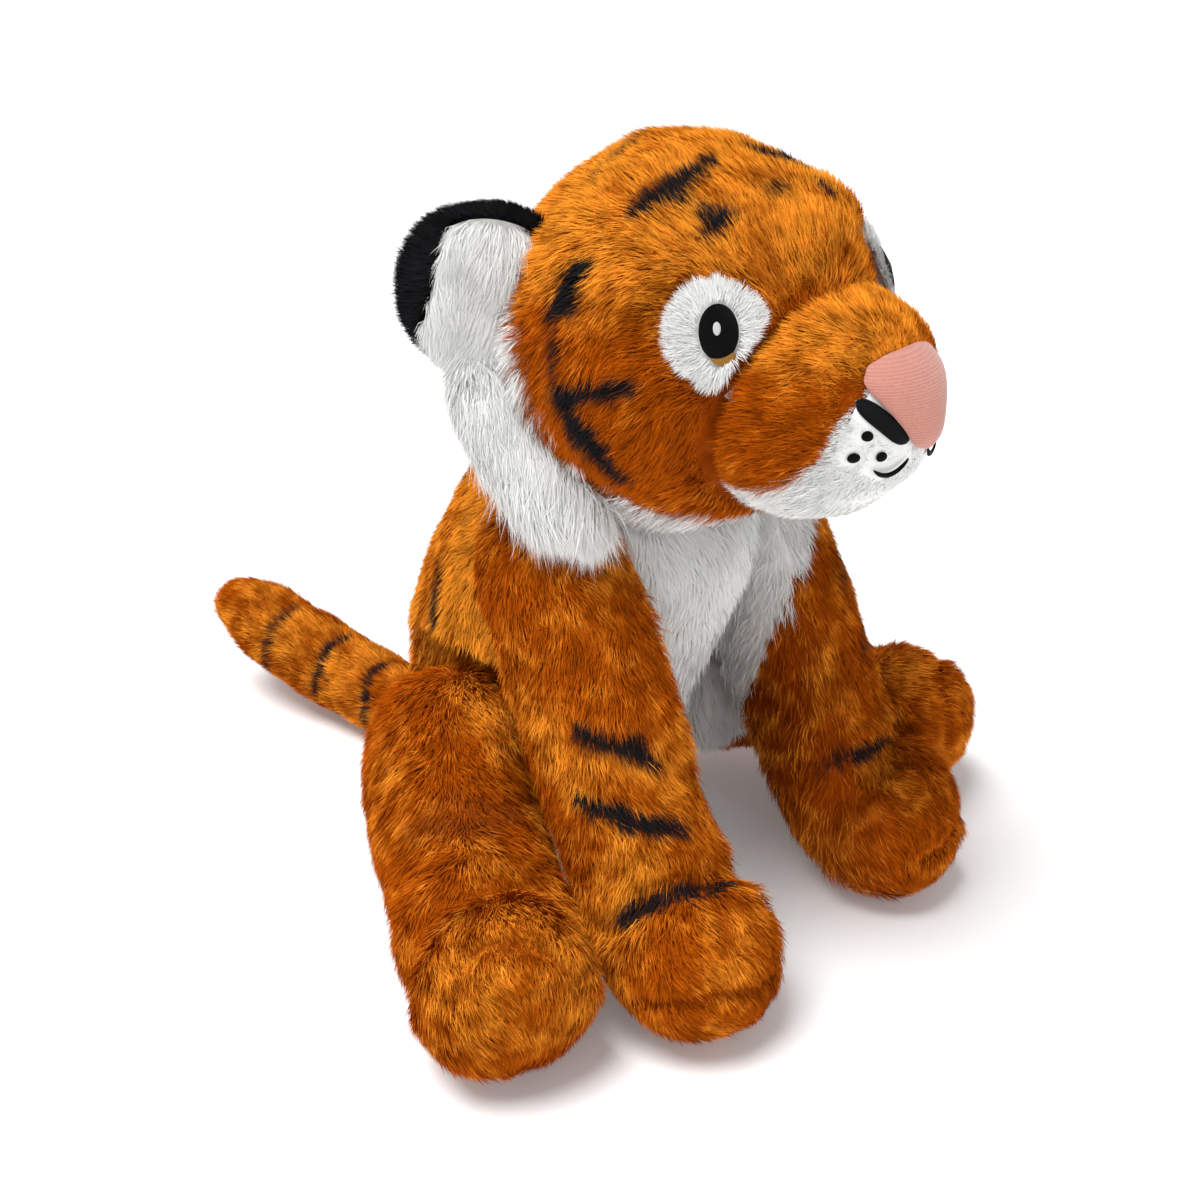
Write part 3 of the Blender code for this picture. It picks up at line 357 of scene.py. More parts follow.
class Form:
    """A stuffed form. Rings of half-widths A and B stand on a bowed line of middles C, and a cubic B-spline
    with one knot a ring joins them. The point at ring t and turn u is C(t) + A(t) cos u + B(t) sin u. Past
    each end C is mirrored and A and B change sign, so that the surface closes smoothly over its pole."""

    BEYOND = 2.0

    def __init__(self, start, end, bow, width, depth, facing, shares):
        start, end, bow, facing = (np.array(v, float) for v in (start, end, bow, facing))
        rows = np.array(shares, float)
        self.relief = None
        self.last = len(rows) - 1
        middles = start + rows[:, :1] * (end - start) + rows[:, 1:2] * bow
        ends = middles[1:2] - middles[:1], middles[-1:] - middles[-2:-1]
        tangent = unit(np.vstack([ends[0], middles[2:] - middles[:-2], ends[1]]))
        side = unit(np.cross(tangent, facing))
        sides = side * rows[:, 2:3] * width / 2
        fronts = np.cross(side, tangent) * rows[:, 3:4] * depth / 2
        self.control = np.stack([
            np.vstack([middles[1:2], middles, middles[-2:-1]]),
            np.vstack([-sides[1:2], sides, -sides[-2:-1]]),
            np.vstack([-fronts[1:2], fronts, -fronts[-2:-1]]),
        ])

    def rings(self, t):
        t = np.clip(t, 0, self.last)
        i = np.minimum(t.astype(int), self.last - 1)
        f = t - i
        shares = (
            (1 - f) ** 3 / 6,
            (3 * f ** 3 - 6 * f ** 2 + 4) / 6,
            (-3 * f ** 3 + 3 * f ** 2 + 3 * f + 1) / 6,
            f ** 3 / 6,
        )
        return sum(share[..., None] * self.control[:, i + k] for k, share in enumerate(shares))

    def plain(self, t, turn):
        middle, side, front = self.rings(t)
        return middle + side * np.cos(turn)[..., None] + front * np.sin(turn)[..., None]

    def point(self, t, turn):
        """The plain point, raised along its normal by the relief where there is one."""
        plain = self.plain(t, turn)
        if self.relief is None:
            return plain
        return plain + self.across(self.plain, t, turn) * self.relief(plain)[..., None]

    def across(self, surface, t, turn, step=1e-3):
        """The cross product of a surface's steps along the rings and round them."""
        t = np.clip(t, 0.02, self.last - 0.02)
        along = surface(t + step, turn) - surface(t - step, turn)
        return unit(np.cross(along, surface(t, turn + step) - surface(t, turn - step)))

    def normal(self, t, turn):
        return self.across(self.point, t, turn, 4e-3)

    def inside(self, points, swell=0.0):
        """How far out each point is, 1 on the surface, for a form whose middles run one way along one axis.
        Past its ends it is BEYOND."""
        axis = np.argmax(np.abs(self.control[0, -1] - self.control[0, 0]))
        t = np.linspace(0, self.last, 400)
        middle, side, front = self.rings(t)
        order = np.argsort(middle[:, axis])
        at = np.interp(points[..., axis], middle[order, axis], t[order])
        middle, side, front = self.rings(at)
        off = points - middle
        lengths = np.linalg.norm(side, axis=-1) + swell, np.linalg.norm(front, axis=-1) + swell
        across = (off * unit(side)).sum(-1) / np.maximum(lengths[0], 1e-6)
        deep = (off * unit(front)).sum(-1) / np.maximum(lengths[1], 1e-6)
        low, high = middle[..., axis] * 0 + self.rings(t)[0][:, axis].min(), self.rings(t)[0][:, axis].max()
        beyond = np.maximum(low - points[..., axis], points[..., axis] - high)
        return np.where(beyond > 0, self.BEYOND, np.hypot(across, deep))

    def fall(self, points, way, reach):
        """Where rays from the points along way first meet the form, found by halving between out and in."""
        way = np.array(way, float)
        near, far = np.zeros(points.shape[:-1]), np.full(points.shape[:-1], reach)
        for _ in range(22):
            middle = (near + far) / 2
            hit = self.inside(points + way * middle[..., None]) < 1
            far = np.where(hit, middle, far)
            near = np.where(hit, near, middle)
        return points + way * far[..., None]


def mirrored(shape, s):
    """The form of a shape that is given for the left, on the side s."""
    start, end, bow, width, depth, facing, shares = shape
    return Form(sided(start, s), sided(end, s), sided(bow, s), width, depth, sided(facing, s), shares)


def distance_to_line(points, line, widths=None):
    """The least distance from each point to a line of straight stretches, or the least of that over its
    width."""
    found = np.full(len(points), 9.0)
    widths = np.ones(len(line)) if widths is None else widths
    for a, b, wide, next_wide in zip(line[:-1], line[1:], widths[:-1], widths[1:]):
        share = np.clip((points - a) @ (b - a) / max((b - a) @ (b - a), 1e-12), 0, 1)
        off = np.linalg.norm(points - a - share[:, None] * (b - a), axis=1)
        found = np.minimum(found, off / (wide + share * (next_wide - wide)))
    return found


def line_on(form, places, s):
    """The points of a line of (ring, turn) places. Lines are given for the right side, and on the left a
    turn is taken from 180 degrees."""
    rings, turns = np.array(places, float).T
    steps = np.linspace(0, len(places) - 1, 7 * len(places))
    rings, turns = (np.interp(steps, np.arange(len(places)), values) for values in (rings, turns))
    turns = np.radians(turns)
    return form.point(rings, turns if s < 0 else math.pi - turns)


def stripes(form, table, s, points, seed):
    """How dark each point is, from 0 to 1: within a stripe's ragged half-width of its line, which narrows
    towards both ends as 0.4 + 0.6 sin(pi share)^0.5."""
    found = np.zeros(len(points))
    ragged = 1 + 0.40 * waves(points, 0.012, seed) + 0.30 * waves(points, 0.004, seed + 1)
    for places, half_width, strength in table:
        path = line_on(form, places, s)
        taper = 0.4 + 0.6 * np.sqrt(np.sin(np.linspace(0, math.pi, len(path))).clip(0, 1))
        off = distance_to_line(points, path, half_width * taper) / ragged
        found = np.maximum(found, strength * (1 - smooth(off, 0.30, 1.50)))
    return found


def creased(form, creases, s):
    """A relief that sinks along each line by depth (1 - (distance / reach)^2)^2."""
    lines = [(line_on(form, places, s), depth, reach) for places, depth, reach in creases]

    def relief(points):
        flat = points.reshape(-1, 3)
        found = np.zeros(len(flat))
        for line, depth, reach in lines:
            share = np.clip(1 - (distance_to_line(flat, line) / reach) ** 2, 0, 1)
            found = found - depth * share ** 2
        return found.reshape(points.shape[:-1])
    return relief


# The cells that roots are spread over, and how strands stray: in turn, lean and length
SCATTER_CELLS = (120, 90)
STRAY_TURN, STRAY_LEAN, STRAY_LENGTH = 0.30, 0.13, 0.12
# A strand's bend to each side of its lean, the share of it below its middle, and the depth of its root
HALF_BEND, MIDDLE_SHARE, ROOT_SUNK = 0.25, 0.45, 0.0004
CLUMP_SIZE, CLUMP_STRAY = 0.0026, 0.0006
# The part of a strand's own flat side in its normal, and how light its four corners and the skin are: 0 at
# the root, darkened as painted shade deep in the pile, up to 1 at the tip
FLAT_SHARE, STRAND_SHADES, SKIN_SHADE = 0.38, (0.0, 0.62, 1.0, 0.62), 0.2
# The skin takes the left of the texture sheet, and strands the right, each with its own small kite there
SHEET_HALF = 0.48
STRAND_PLACES = ((0, 0), (0.0015, 0.006), (0, 0.013), (-0.0015, 0.006))


class Pile:
    """Strands and the skin that they stand on, gathered for one piece."""

    def __init__(self, seed):
        self.rng = np.random.default_rng(seed)
        self.points, self.quads, self.places, self.normals = [], [], [], []
        self.facts = {"shade": [], "mark": [], "white": [], "gold": [], "tint": []}
        self.count = 0

    def add(self, points, quads, places, normals, **facts):
        self.points.append(points)
        self.quads.append(quads + self.count)
        self.places.append(places)
        self.normals.append(normals)
        for name in self.facts:
            self.facts[name].append(np.broadcast_to(facts.get(name, 0.0), len(points)))
        self.count += len(points)

    def skin(self, form, inset, fix, keep, paint, rings=60, turns=84, t0=0.0):
        """The cloth under the pile: the form's grid drawn in along its normals, less what keep refuses."""
        t, u = turned_grid(rings, turns + 1, t0, form.last)
        normals = form.normal(t, u).reshape(-1, 3)
        points = fix(form.point(t, u).reshape(-1, 3) - normals * inset)
        t, u = t.ravel(), u.ravel()
        quads = grid_quads(rings, turns + 1)[:, [0, 3, 2, 1]]
        first = quads[:, 0]
        quads = quads[keep(points[quads].mean(axis=1), t[first], u[first])]
        places = np.stack([u / (2 * math.pi) * SHEET_HALF, t / form.last], axis=1)
        # The skin takes a colour close to the roots': painted shade at the bottom of the pile.
        self.add(points, quads, places, normals, shade=SKIN_SHADE, **paint(points))

    def scatter(self, form, number, keep, weight, t0):
        """Places for a number of roots, spread evenly over the area that keep and weight leave them."""
        rings, turns = SCATTER_CELLS
        t, u = turned_grid(rings + 1, turns + 1, t0, form.last)
        areas = cell_areas(form.point(t, u)).ravel()
        t, u = ((values[1:, 1:] + values[:-1, :-1]).ravel() / 2 for values in (t, u))
        middles = form.point(t, u)
        share = areas * keep(middles, t, u)
        if weight is not None:
            share = share * weight(middles)
        total = np.cumsum(share)
        marks = (np.arange(number) + self.rng.random(number)) / number * total[-1]
        cell = np.minimum(np.searchsorted(total, marks), len(total) - 1)
        t = t[cell] + (self.rng.random(number) - 0.5) * (form.last - t0) / rings
        u = u[cell] + (self.rng.random(number) - 0.5) * 2 * math.pi / turns
        return t, u

    def gathered(self, tips, roots, clump):
        """The tips, each drawn to the middle of the tips in its clump, by its own part of clump."""
        n = len(tips)
        cells = np.floor((roots + CLUMP_STRAY * self.rng.normal(size=(n, 3))) / CLUMP_SIZE).astype(np.int64)
        _, group = np.unique(cells @ np.array([1, 1 << 12, 1 << 24]), return_inverse=True)
        group = group.reshape(-1)
        held = np.maximum(np.bincount(group), 1)[:, None]
        middles = np.stack([np.bincount(group, tips[:, k]) for k in range(3)], axis=1) / held
        pull = (clump * np.clip(self.rng.normal(0.9, 0.35, n), 0, 1.6))[:, None]
        return tips + (middles[group] - tips) * pull

    def strands(self, form, inset, fix, keep, paint, comb, number, length, lean=1.0, clump=0.35, weight=None,
                t0=0.0, sway=0.5, width=None, tall=None):
        """Kites of pile: root, two sides at the middle, and tip. A strand leans from the normal towards the
        comb's direction, bends further over, and its tip is drawn to the tips beside it. tall gives the
        share of the length at each root."""
        rng = self.rng
        t, u = self.scatter(form, number, keep, weight, t0)
        normals, outer = form.normal(t, u), form.point(t, u)
        good = keep(outer, t, u)
        t, u, normals, outer = t[good], u[good], normals[good], outer[good]
        roots = fix(outer - normals * inset)
        n = len(roots)
        flow = comb(roots, normals)
        flow = unit(flow - normals * (flow * normals).sum(-1, keepdims=True))
        swayed = sway * waves(roots, 0.022, 5) + 0.5 * sway * waves(roots, 0.007, 6)
        turn = (swayed + rng.normal(0, STRAY_TURN, n))[:, None]
        flow = flow * np.cos(turn) + np.cross(normals, flow) * np.sin(turn)
        lean = lean + 0.16 * waves(roots, 0.015, 7) + rng.normal(0, STRAY_LEAN, n)
        lean = np.clip(lean, 0.2, 1.45)[:, None]
        share = 1.0 if tall is None else tall(outer)
        stray = 1 + 0.14 * waves(roots, 0.02, 8) + rng.normal(0, STRAY_LENGTH, n)
        tall = (share * length * stray)[:, None]
        low, high = np.clip(lean - HALF_BEND, 0.1, 1.4), np.clip(lean + HALF_BEND, 0.2, 1.5)
        first = normals * np.cos(low) + flow * np.sin(low)
        second = normals * np.cos(high) + flow * np.sin(high)
        middles = roots + first * tall * MIDDLE_SHARE
        tips = self.gathered(middles + second * tall * (1 - MIDDLE_SHARE), roots, clump)
        facing = unit(normals + 0.55 * rng.normal(size=(n, 3)))
        wide = (settings().strand_width if width is None else width) * rng.uniform(0.6, 1.2, (n, 1)) / 2
        across = unit(np.cross(first, facing)) * wide
        flat = unit(np.cross(across, first))
        outwards = np.where((flat * normals).sum(-1, keepdims=True) < 0, -1, 1)
        across, flat = across * outwards, flat * outwards
        points = np.stack([roots - normals * ROOT_SUNK, middles + across, tips, middles - across], axis=1)
        points[..., 2] = np.maximum(points[..., 2], FLOOR_GAP)
        facts = {key: np.repeat(np.broadcast_to(values, n), 4) for key, values in paint(outer).items()}
        around = u % (2 * math.pi) / (2 * math.pi)
        places = np.stack([0.5 + around * SHEET_HALF, t / form.last * 0.97], axis=1)
        self.add(
            points.reshape(-1, 3),
            np.arange(4 * n).reshape(-1, 4),
            (places[:, None] + np.array(STRAND_PLACES)).reshape(-1, 2),
            np.repeat(unit((1 - FLAT_SHARE) * normals + FLAT_SHARE * flat), 4, axis=0),
            # shade runs from the root, darkest as painted shade deep in the pile, to the tip.
            shade=np.tile(STRAND_SHADES, n),
            tint=np.repeat(rng.uniform(-1, 1, n), 4),
            **facts,
        )

    def build(self, name, body, slot, node, fill=None):
        """One mesh of all that was gathered, in its node's place."""
        points, quads = np.concatenate(self.points), np.concatenate(self.quads)
        used = np.zeros(len(points), bool)
        used[quads.ravel()] = True
        new = np.cumsum(used) - 1
        facts = {key: np.concatenate(parts)[used] for key, parts in self.facts.items()}
        normals = np.concatenate(self.normals)[used]
        places = np.concatenate(self.places)[used]
        piece = mesh_piece(name, points[used], new[quads], pile_material(), places, facts, normals)
        place(piece, body, slot, node, fill=fill)


def mesh_piece(name, points, quads, material, places=None, facts=None, normals=None):
    """A mesh from arrays: points, quads, a place on the texture sheet and numbers for each point."""
    mesh = bpy.data.meshes.new(name)
    mesh.vertices.add(len(points))
    mesh.vertices.foreach_set("co", points.astype(np.float32).ravel())
    mesh.loops.add(quads.size)
    mesh.loops.foreach_set("vertex_index", quads.astype(np.int32).ravel())
    mesh.polygons.add(len(quads))
    mesh.polygons.foreach_set("loop_start", np.arange(0, quads.size, 4, dtype=np.int32))
    mesh.update(calc_edges=True)
    mesh.shade_smooth()
    if places is not None:
        layer = mesh.uv_layers.new(name="OFBake")
        layer.uv.foreach_set("vector", places[quads.ravel()].astype(np.float32).ravel())
    for key, values in (facts or {}).items():
        attribute = mesh.attributes.new(key, "FLOAT", "POINT")
        attribute.data.foreach_set("value", values.astype(np.float32))
    if normals is not None:
        mesh.normals_split_custom_set_from_vertices(normals)
    mesh.materials.append(material)
    obj = bpy.data.objects.new(name, mesh)
    bpy.context.scene.collection.objects.link(obj)
    return obj


def place(obj, body, slot, *nodes, fill=None):
    """Puts a piece on its body, in the place of its CAD nodes."""
    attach(obj, body)
    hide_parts(*nodes)


class Value:
    """A shader socket that takes part in Python sums: each step becomes a Math node."""

    def __init__(self, tree, socket):
        self.tree, self.socket = tree, socket

    def step(self, operation, *terms):
        return self.tree.node("Math", {"operation": operation}, dict(enumerate(terms)))

    def __add__(self, other):
        return self.step("ADD", self, other)

    __radd__ = __add__

    def __sub__(self, other):
        return self.step("SUBTRACT", self, other)

    def __rsub__(self, other):
        return self.step("SUBTRACT", other, self)

    def __mul__(self, other):
        return self.step("MULTIPLY", self, other)

    __rmul__ = __mul__

    def clamped(self):
        return self.tree.node("Clamp", {}, {"Value": self})


class Tree:
    """A material's nodes."""

    def __init__(self, name, roughness, sheen=0.0, gloss=0.25):
        self.material = bpy.data.materials.new(name)
        self.material.use_nodes = True
        self.nodes = self.material.node_tree.nodes
        self.links = self.material.node_tree.links
        self.shader = self.nodes["Principled BSDF"]
        self.shader.inputs["Roughness"].default_value = roughness
        self.shader.inputs["Sheen Weight"].default_value = sheen
        self.shader.inputs["Sheen Roughness"].default_value = 0.5
        self.shader.inputs["Specular IOR Level"].default_value = gloss

    def node(self, kind, options, values, output=0):
        """A node by its type, with its options set first, then its inputs as numbers or links."""
        made = self.nodes.new("ShaderNode" + kind)
        for key, option in options.items():
            setattr(made, key, option)
        for key, value in values.items():
            self.put(made.inputs[key], value)
        return Value(self, made.outputs[output])

    def put(self, target, value):
        if isinstance(value, Value):
            self.links.new(value.socket, target)
        elif isinstance(value, (int, float)):
            target.default_value = value
        else:
            target.default_value = tuple(value) + (1.0,) * (len(target.default_value) - len(tuple(value)))

    def fact(self, name):
        return self.node("Attribute", {"attribute_name": name}, {}, "Fac")

    def mix(self, share, a, b):
        """A colour between a and b. The Mix node's colour sockets are inputs 6 and 7 and output 2."""
        return self.node("Mix", {"data_type": "RGBA"}, {0: share, 6: a, 7: b}, 2)

    def noise(self, scale, detail=2.0, where="Object"):
        place_at = self.node("TexCoord", {}, {}, where)
        return self.node("TexNoise", {}, {"Vector": place_at, "Scale": scale, "Detail": detail}, "Fac")

    def set(self, **inputs):
        for key, value in inputs.items():
            self.put(self.shader.inputs[key.replace("_", " ")], value)
        return self.material


def made(name):
    return bpy.data.materials.get(name)


def pile_material():
    """Pile from root to tip, darker at the root as painted shade deep in the pile: orange with gold patches,
    black where marked, white where masked.
    """
    if made("Pile"):
        return made("Pile")
    look, choice = Tree("Pile", 0.9, 0.0, 0.03), settings()
    shade, mark, white, gold, tint = (look.fact(key) for key in ("shade", "mark", "white", "gold", "tint"))
    spots = look.noise(150.0) - 0.5
    # Paler tips in random patches and where paleness is high; on the tops of the head and muzzle that is
    # painted light from above.
    paler_tips = ((look.noise(38.0) - 0.48) * 2.6 + spots * 1.8 + gold + tint * 0.3).clamped()
    tips = look.mix(paler_tips, choice.orange_tip, choice.gold_tip)
    orange = look.mix(shade, choice.orange_shaded_root, tips)
    pale = look.mix(shade, choice.white_shaded_root, choice.white_tip)
    dark = look.mix(shade, choice.black_shaded_root, choice.black_tip)
    colour = look.mix(((white - 0.5) * 3.0 + 0.5 + tint * 0.5).clamped(), orange, pale)
    colour = look.mix(((mark - 0.5) * 2.0 + 0.5 + tint * 0.45).clamped(), colour, dark)
    bright = 1.0 + (tint * 0.2 + spots * 1.1) * (1.0 - white * 0.8)
    colour = look.node("VectorMath", {"operation": "SCALE"}, {0: colour, "Scale": bright})
    return look.set(Base_Color=colour)


def thread_material(name, colour, scale=900.0, gloss=0.25):
    """Satin stitch: fine ridges of thread under a soft shine."""
    if made(name):
        return made(name)
    look = Tree(name, 0.55, 0.0, gloss)
    ridges = look.node(
        "TexWave", {"wave_type": "BANDS"},
        {"Vector": look.node("UVMap", {"uv_map": "OFBake"}, {}), "Scale": scale, "Distortion": 1.5},
        "Fac",
    )
    bump = look.node("Bump", {}, {"Strength": 0.5, "Distance": 0.0004, "Height": ridges}, "Normal")
    darker = tuple(0.6 * part for part in colour)
    return look.set(Base_Color=look.mix(ridges, darker, colour), Normal=bump)


def cloth_material(name, colour, scale, depth):
    """Loose fibre or woven cloth for what is inside."""
    if made(name):
        return made(name)
    look = Tree(name, 0.9)
    height = look.noise(scale, 4.0)
    bump = look.node("Bump", {}, {"Strength": 0.6, "Distance": depth, "Height": height}, "Normal")
    return look.set(Base_Color=look.mix(height, tuple(0.7 * part for part in colour), colour), Normal=bump)


def paint_all(**facts):
    """A paint of one colour all over."""
    def paint(points):
        return facts
    return paint


def parted(form, seams, s):
    """The share of the pile's length at each point: shortest on a seam."""
    lines = [line_on(form, seam, s) for seam in seams]

    def tall(points):
        off = np.min([distance_to_line(points, line) for line in lines], axis=0)
        return 0.50 + 0.50 * smooth(off, 0.0002, 0.0030)
    return tall


def free(points):
    """A fix that leaves points where they are, but over the floor."""
    points = points.copy()
    points[..., 2] = np.maximum(points[..., 2], 0.001)
    return points


def everywhere(points, t, u):
    return np.ones(len(points), bool)


def on_side(s):
    def keep(points, t, u):
        return points[:, 0] * s >= -0.0008
    return keep


def area_of(form):
    """The form's area in square centimetres."""
    return cell_areas(form.point(*turned_grid(121, 91, 0, form.last))).sum() * 1e4


def thinned(number):
    return int(number * (1.0))


def number_for(form, share=1.0):
    """How many strands a share of the form's area carries."""
    return thinned(min(area_of(form) * share * settings().strands, MOST_STRANDS))


def chin_side(points):
    """Positive in front of and below the line between orange and white pile on the muzzle."""
    edge = np.array(CHIN_EDGE)
    off = distance_to_line(points[:, 1:], edge)
    return np.where(points[:, 2] < np.interp(-points[:, 1], -edge[:, 0], edge[:, 1]), off, -off)


def thread_room(points):
    """How far each point of the muzzle's front is from the lips, mouth and dots, over the plane y = 0."""
    flat = np.stack([np.abs(points[:, 0]), points[:, 2]], axis=1)
    found = distance_to_line(flat, np.array((LIP[0], LIP[1]))) - LIP_HALF_WIDTH
    middle = (np.array(MOUTH[0]) + MOUTH[1]) / 2 - (0, MOUTH_SAG)
    mouth = distance_to_line(flat, np.array((MOUTH[0], middle, MOUTH[1])))
    found = np.minimum(found, mouth - MOUTH_HALF_WIDTH)
    for dot in DOTS:
        found = np.minimum(found, np.linalg.norm(flat - dot, axis=1) - DOT_RADIUS)
    return np.where(points[:, 1] < THREAD_BACK, found, 1.0)


def bib_depth(points):
    """How far inside the bib's outline each point of the chest is, in metres across."""
    shares = np.array(BIB_SHARES)
    share = (points[:, 2] - BIB_TIP) / (BIB_TOP - BIB_TIP)
    half = np.interp(share, shares[:, 1], shares[:, 0]) * BIB_HALF_WIDTH
    return np.where((share > 0) & (points[:, 1] < -0.02), half - np.abs(points[:, 0]), -0.02)


def eye_frame(s):
    """The eye's middle, its normal, and the directions across it and up."""
    normal = unit(sided(EYE_NORMAL, s))
    across = unit(np.cross((0, 0, 1), normal))
    return sided(EYE_CENTRE, s), normal, across, np.cross(normal, across)


def eye_share(points, s):
    """1 on the outline of the eye's white patch, less inside it, and far more on the head's other side."""
    centre, normal, across, up = eye_frame(s)
    off = points - centre
    u, v = -s * (off @ across), off @ up
    turns, reach = np.array(EYE_REACH, float).T
    turn = np.arctan2(v, u)
    wider = 1 + (EYE_WIDER * np.clip(np.cos(turn - math.radians(EYE_WIDER_TURN)), 0, 1) if s > 0 else 0)
    found = np.hypot(u, v) / np.interp(np.degrees(turn) % 360, turns, reach / 1000) / wider
    return found + np.where(off @ normal < -0.02, 9, 0)


def in_eye(points, s):
    """1 on the edge of the eye's black ellipse, less inside it."""
    centre, _, across, up = eye_frame(s)
    off, (wide, high) = points - centre, EYE_BLACK[0]
    return np.hypot(off @ across / (wide / 2), off @ up / (high / 2))


class TigerOperator:
    bl_options = {"REGISTER", "UNDO"}

    def execute(self, context):
        self.make()
        return {"FINISHED"}


class SidedOperator(TigerOperator):
    """Makes its pieces for the right side, then for the left."""

    def make(self):
        for side, s in SIDES:
            self.make_side(side, s)


HEAD_FORM, MUZZLE_FORM, TORSO_FORM = Form(*HEAD), Form(*MUZZLE), Form(*TORSO)


def torso_fix(points):
    """Keeps the torso out of the legs' and the head's room."""
    points = free(points)
    y, z = points[:, 1] - HIP[0], points[:, 2] - HIP[1]
    at_hip = (np.hypot(np.maximum(y, 0), z) < HIP_RADIUS + 0.004) & (np.abs(z) < HIP_RADIUS)
    limit = np.where(at_hip, HIP_PLANE - SEAM_ROOM, 1.0)
    back = SHOULDER_BACK - SHOULDER_SLOPE * (SHOULDER_TOP - points[:, 2])
    at_shoulder = (points[:, 2] > SHOULDER_FOOT) & (points[:, 1] < back)
    limit = np.where(at_shoulder, np.minimum(limit, SHOULDER_PLANE - SEAM_ROOM), limit)
    points[:, 0] = np.clip(points[:, 0], -limit, limit)
    for _ in range(3):
        depth = 1 - HEAD_FORM.inside(points, HEAD_CLEARANCE - 0.002)
        points[:, 2] -= np.clip(depth, 0, 1) * 0.05
    return points


class TIGER_OT_torso(SidedOperator, bpy.types.Operator):
    """Pile of the torso, one piece for each side, and the bib on its chest"""

    bl_idname = "tiger.torso"
    bl_label = "Torso"

    def comb(self, points, normals):
        return np.array((0, 0.15, -1.0)) + 0.2 * normals

    def make_side(self, side, s):
        def keep_orange(points, t, u):
            below = HEAD_FORM.inside(points, HEAD_CLEARANCE - 0.003) > 1
            return on_side(s)(points, t, u) & below & (bib_depth(points) < 0.001)

        def paint(points):
            heights, halves = np.array(BELLY_WHITE).T
            belly = np.interp(points[:, 2], heights, halves) - np.abs(points[:, 0])
            belly = np.where((points[:, 1] < 0.0) & (points[:, 2] < heights[-1]), belly, -1)
            white = smooth(np.maximum(bib_depth(points), belly), -BIB_EDGE, BIB_EDGE)
            mark = stripes(TORSO_FORM, TORSO_STRIPES, s, points, 11) * (1 - white)
            return {"mark": mark, "white": white, "gold": 0.9}

        def weight(points):
            return np.where(points[:, 2] < 2 * SOLE, 0.35, 1.0)

        pile = Pile(20 + s)
        pile.skin(TORSO_FORM, settings().skin_inset, torso_fix, on_side(s), paint)
        pile.strands(
            TORSO_FORM, settings().root_depth, torso_fix, keep_orange, paint, self.comb,
            number_for(TORSO_FORM, 0.48), settings().body_pile, lean=1.02, weight=weight,
        )
        pile.build("torso_" + side, "torso", "orange_pile", "torso_cover", fill=0.8)

    def make(self):
        super().make()

        def keep_bib(points, t, u):
            return bib_depth(points) > -0.001

        white = paint_all(white=1.0)
        bib = Pile(24)
        bib.skin(TORSO_FORM, settings().skin_inset - BIB_RISE, torso_fix, keep_bib, white, t0=1.5)
        bib.strands(
            TORSO_FORM, settings().root_depth - BIB_RISE, torso_fix, keep_bib, white, self.comb,
            number_for(TORSO_FORM, 0.14), settings().body_pile * 1.25, lean=1.05, width=WHITE_WIDTH,
        )
        bib.build("chest_bib_pile", "torso", "white_pile", "chest_bib")


class TIGER_OT_neck(TigerOperator, bpy.types.Operator):
    """Pile round the ball that the head turns on"""

    bl_idname = "tiger.neck"
    bl_label = "Neck"

    def make(self):
        shares = [(k / 10, 0, math.sin(math.pi * k / 10), math.sin(math.pi * k / 10)) for k in range(11)]
        size, rise = 2 * NECK_RADIUS, (0, 0, NECK_RADIUS)
        form = Form(np.subtract(NECK, rise), np.add(NECK, rise), (0, 0, 0), size, size, (0, -1, 0), shares)

        def paint(points):
            """White in front, between two slanting edges."""
            return {"white": smooth(NECK[1] - points[:, 1] - 0.9 * np.abs(points[:, 0]), -0.004, 0.004)}

        def comb(points, normals):
            return np.array((0, -0.2, -1.0)) + 0 * points

        pile = Pile(31)
        pile.skin(form, 0.003, free, everywhere, paint, rings=40, turns=60)
        pile.strands(form, 0.003, free, everywhere, paint, comb, number_for(form, 0.7), 0.007)
        pile.build("neck_pile", "neck", "white_pile", "neck_stuffing")


def lobe(points, centre, radius, height):
    """A soft swelling: height times (1 - (distance / radius)^2)^2 inside the radius."""
    share = np.clip(1 - (np.linalg.norm(points - np.array(centre), axis=-1) / radius) ** 2, 0, 1)
    return height * share ** 2


def beside(points):
    """1 beside the muzzle and below it, and little over its bridge, where the forehead runs into it."""
    over = smooth(points[..., 2], 0.196, 0.212) * (1 - smooth(np.abs(points[..., 0]), 0.012, 0.030))
    return 1 - 0.85 * over


def near(form, points, reach):
    """1 beside points that touch the form and less further away, down to 0 at reach times its size, and
    little over the bridge."""
    return (1 - smooth(form.inside(points), 1.0, reach)) * beside(points)


def head_relief(points):
    """Cheeks, brows and the crease round the muzzle. It is the same on both sides."""
    folded = np.stack([np.abs(points[..., 0]), points[..., 1], points[..., 2]], axis=-1)
    found = -CREASE_DEPTH * near(MUZZLE_FORM, points, MUZZLE_NEAR)
    for centre, radius, height in HEAD_LOBES:
        found = found + lobe(folded, centre, radius, height)
    return found


def muzzle_relief(points):
    return -CREASE_DEPTH * near(HEAD_FORM, points, 1.10) + lobe(points, *CHIN_LOBE)


SHAPED_HEAD, SHAPED_MUZZLE = Form(*HEAD), Form(*MUZZLE)
SHAPED_HEAD.relief, SHAPED_MUZZLE.relief = head_relief, muzzle_relief


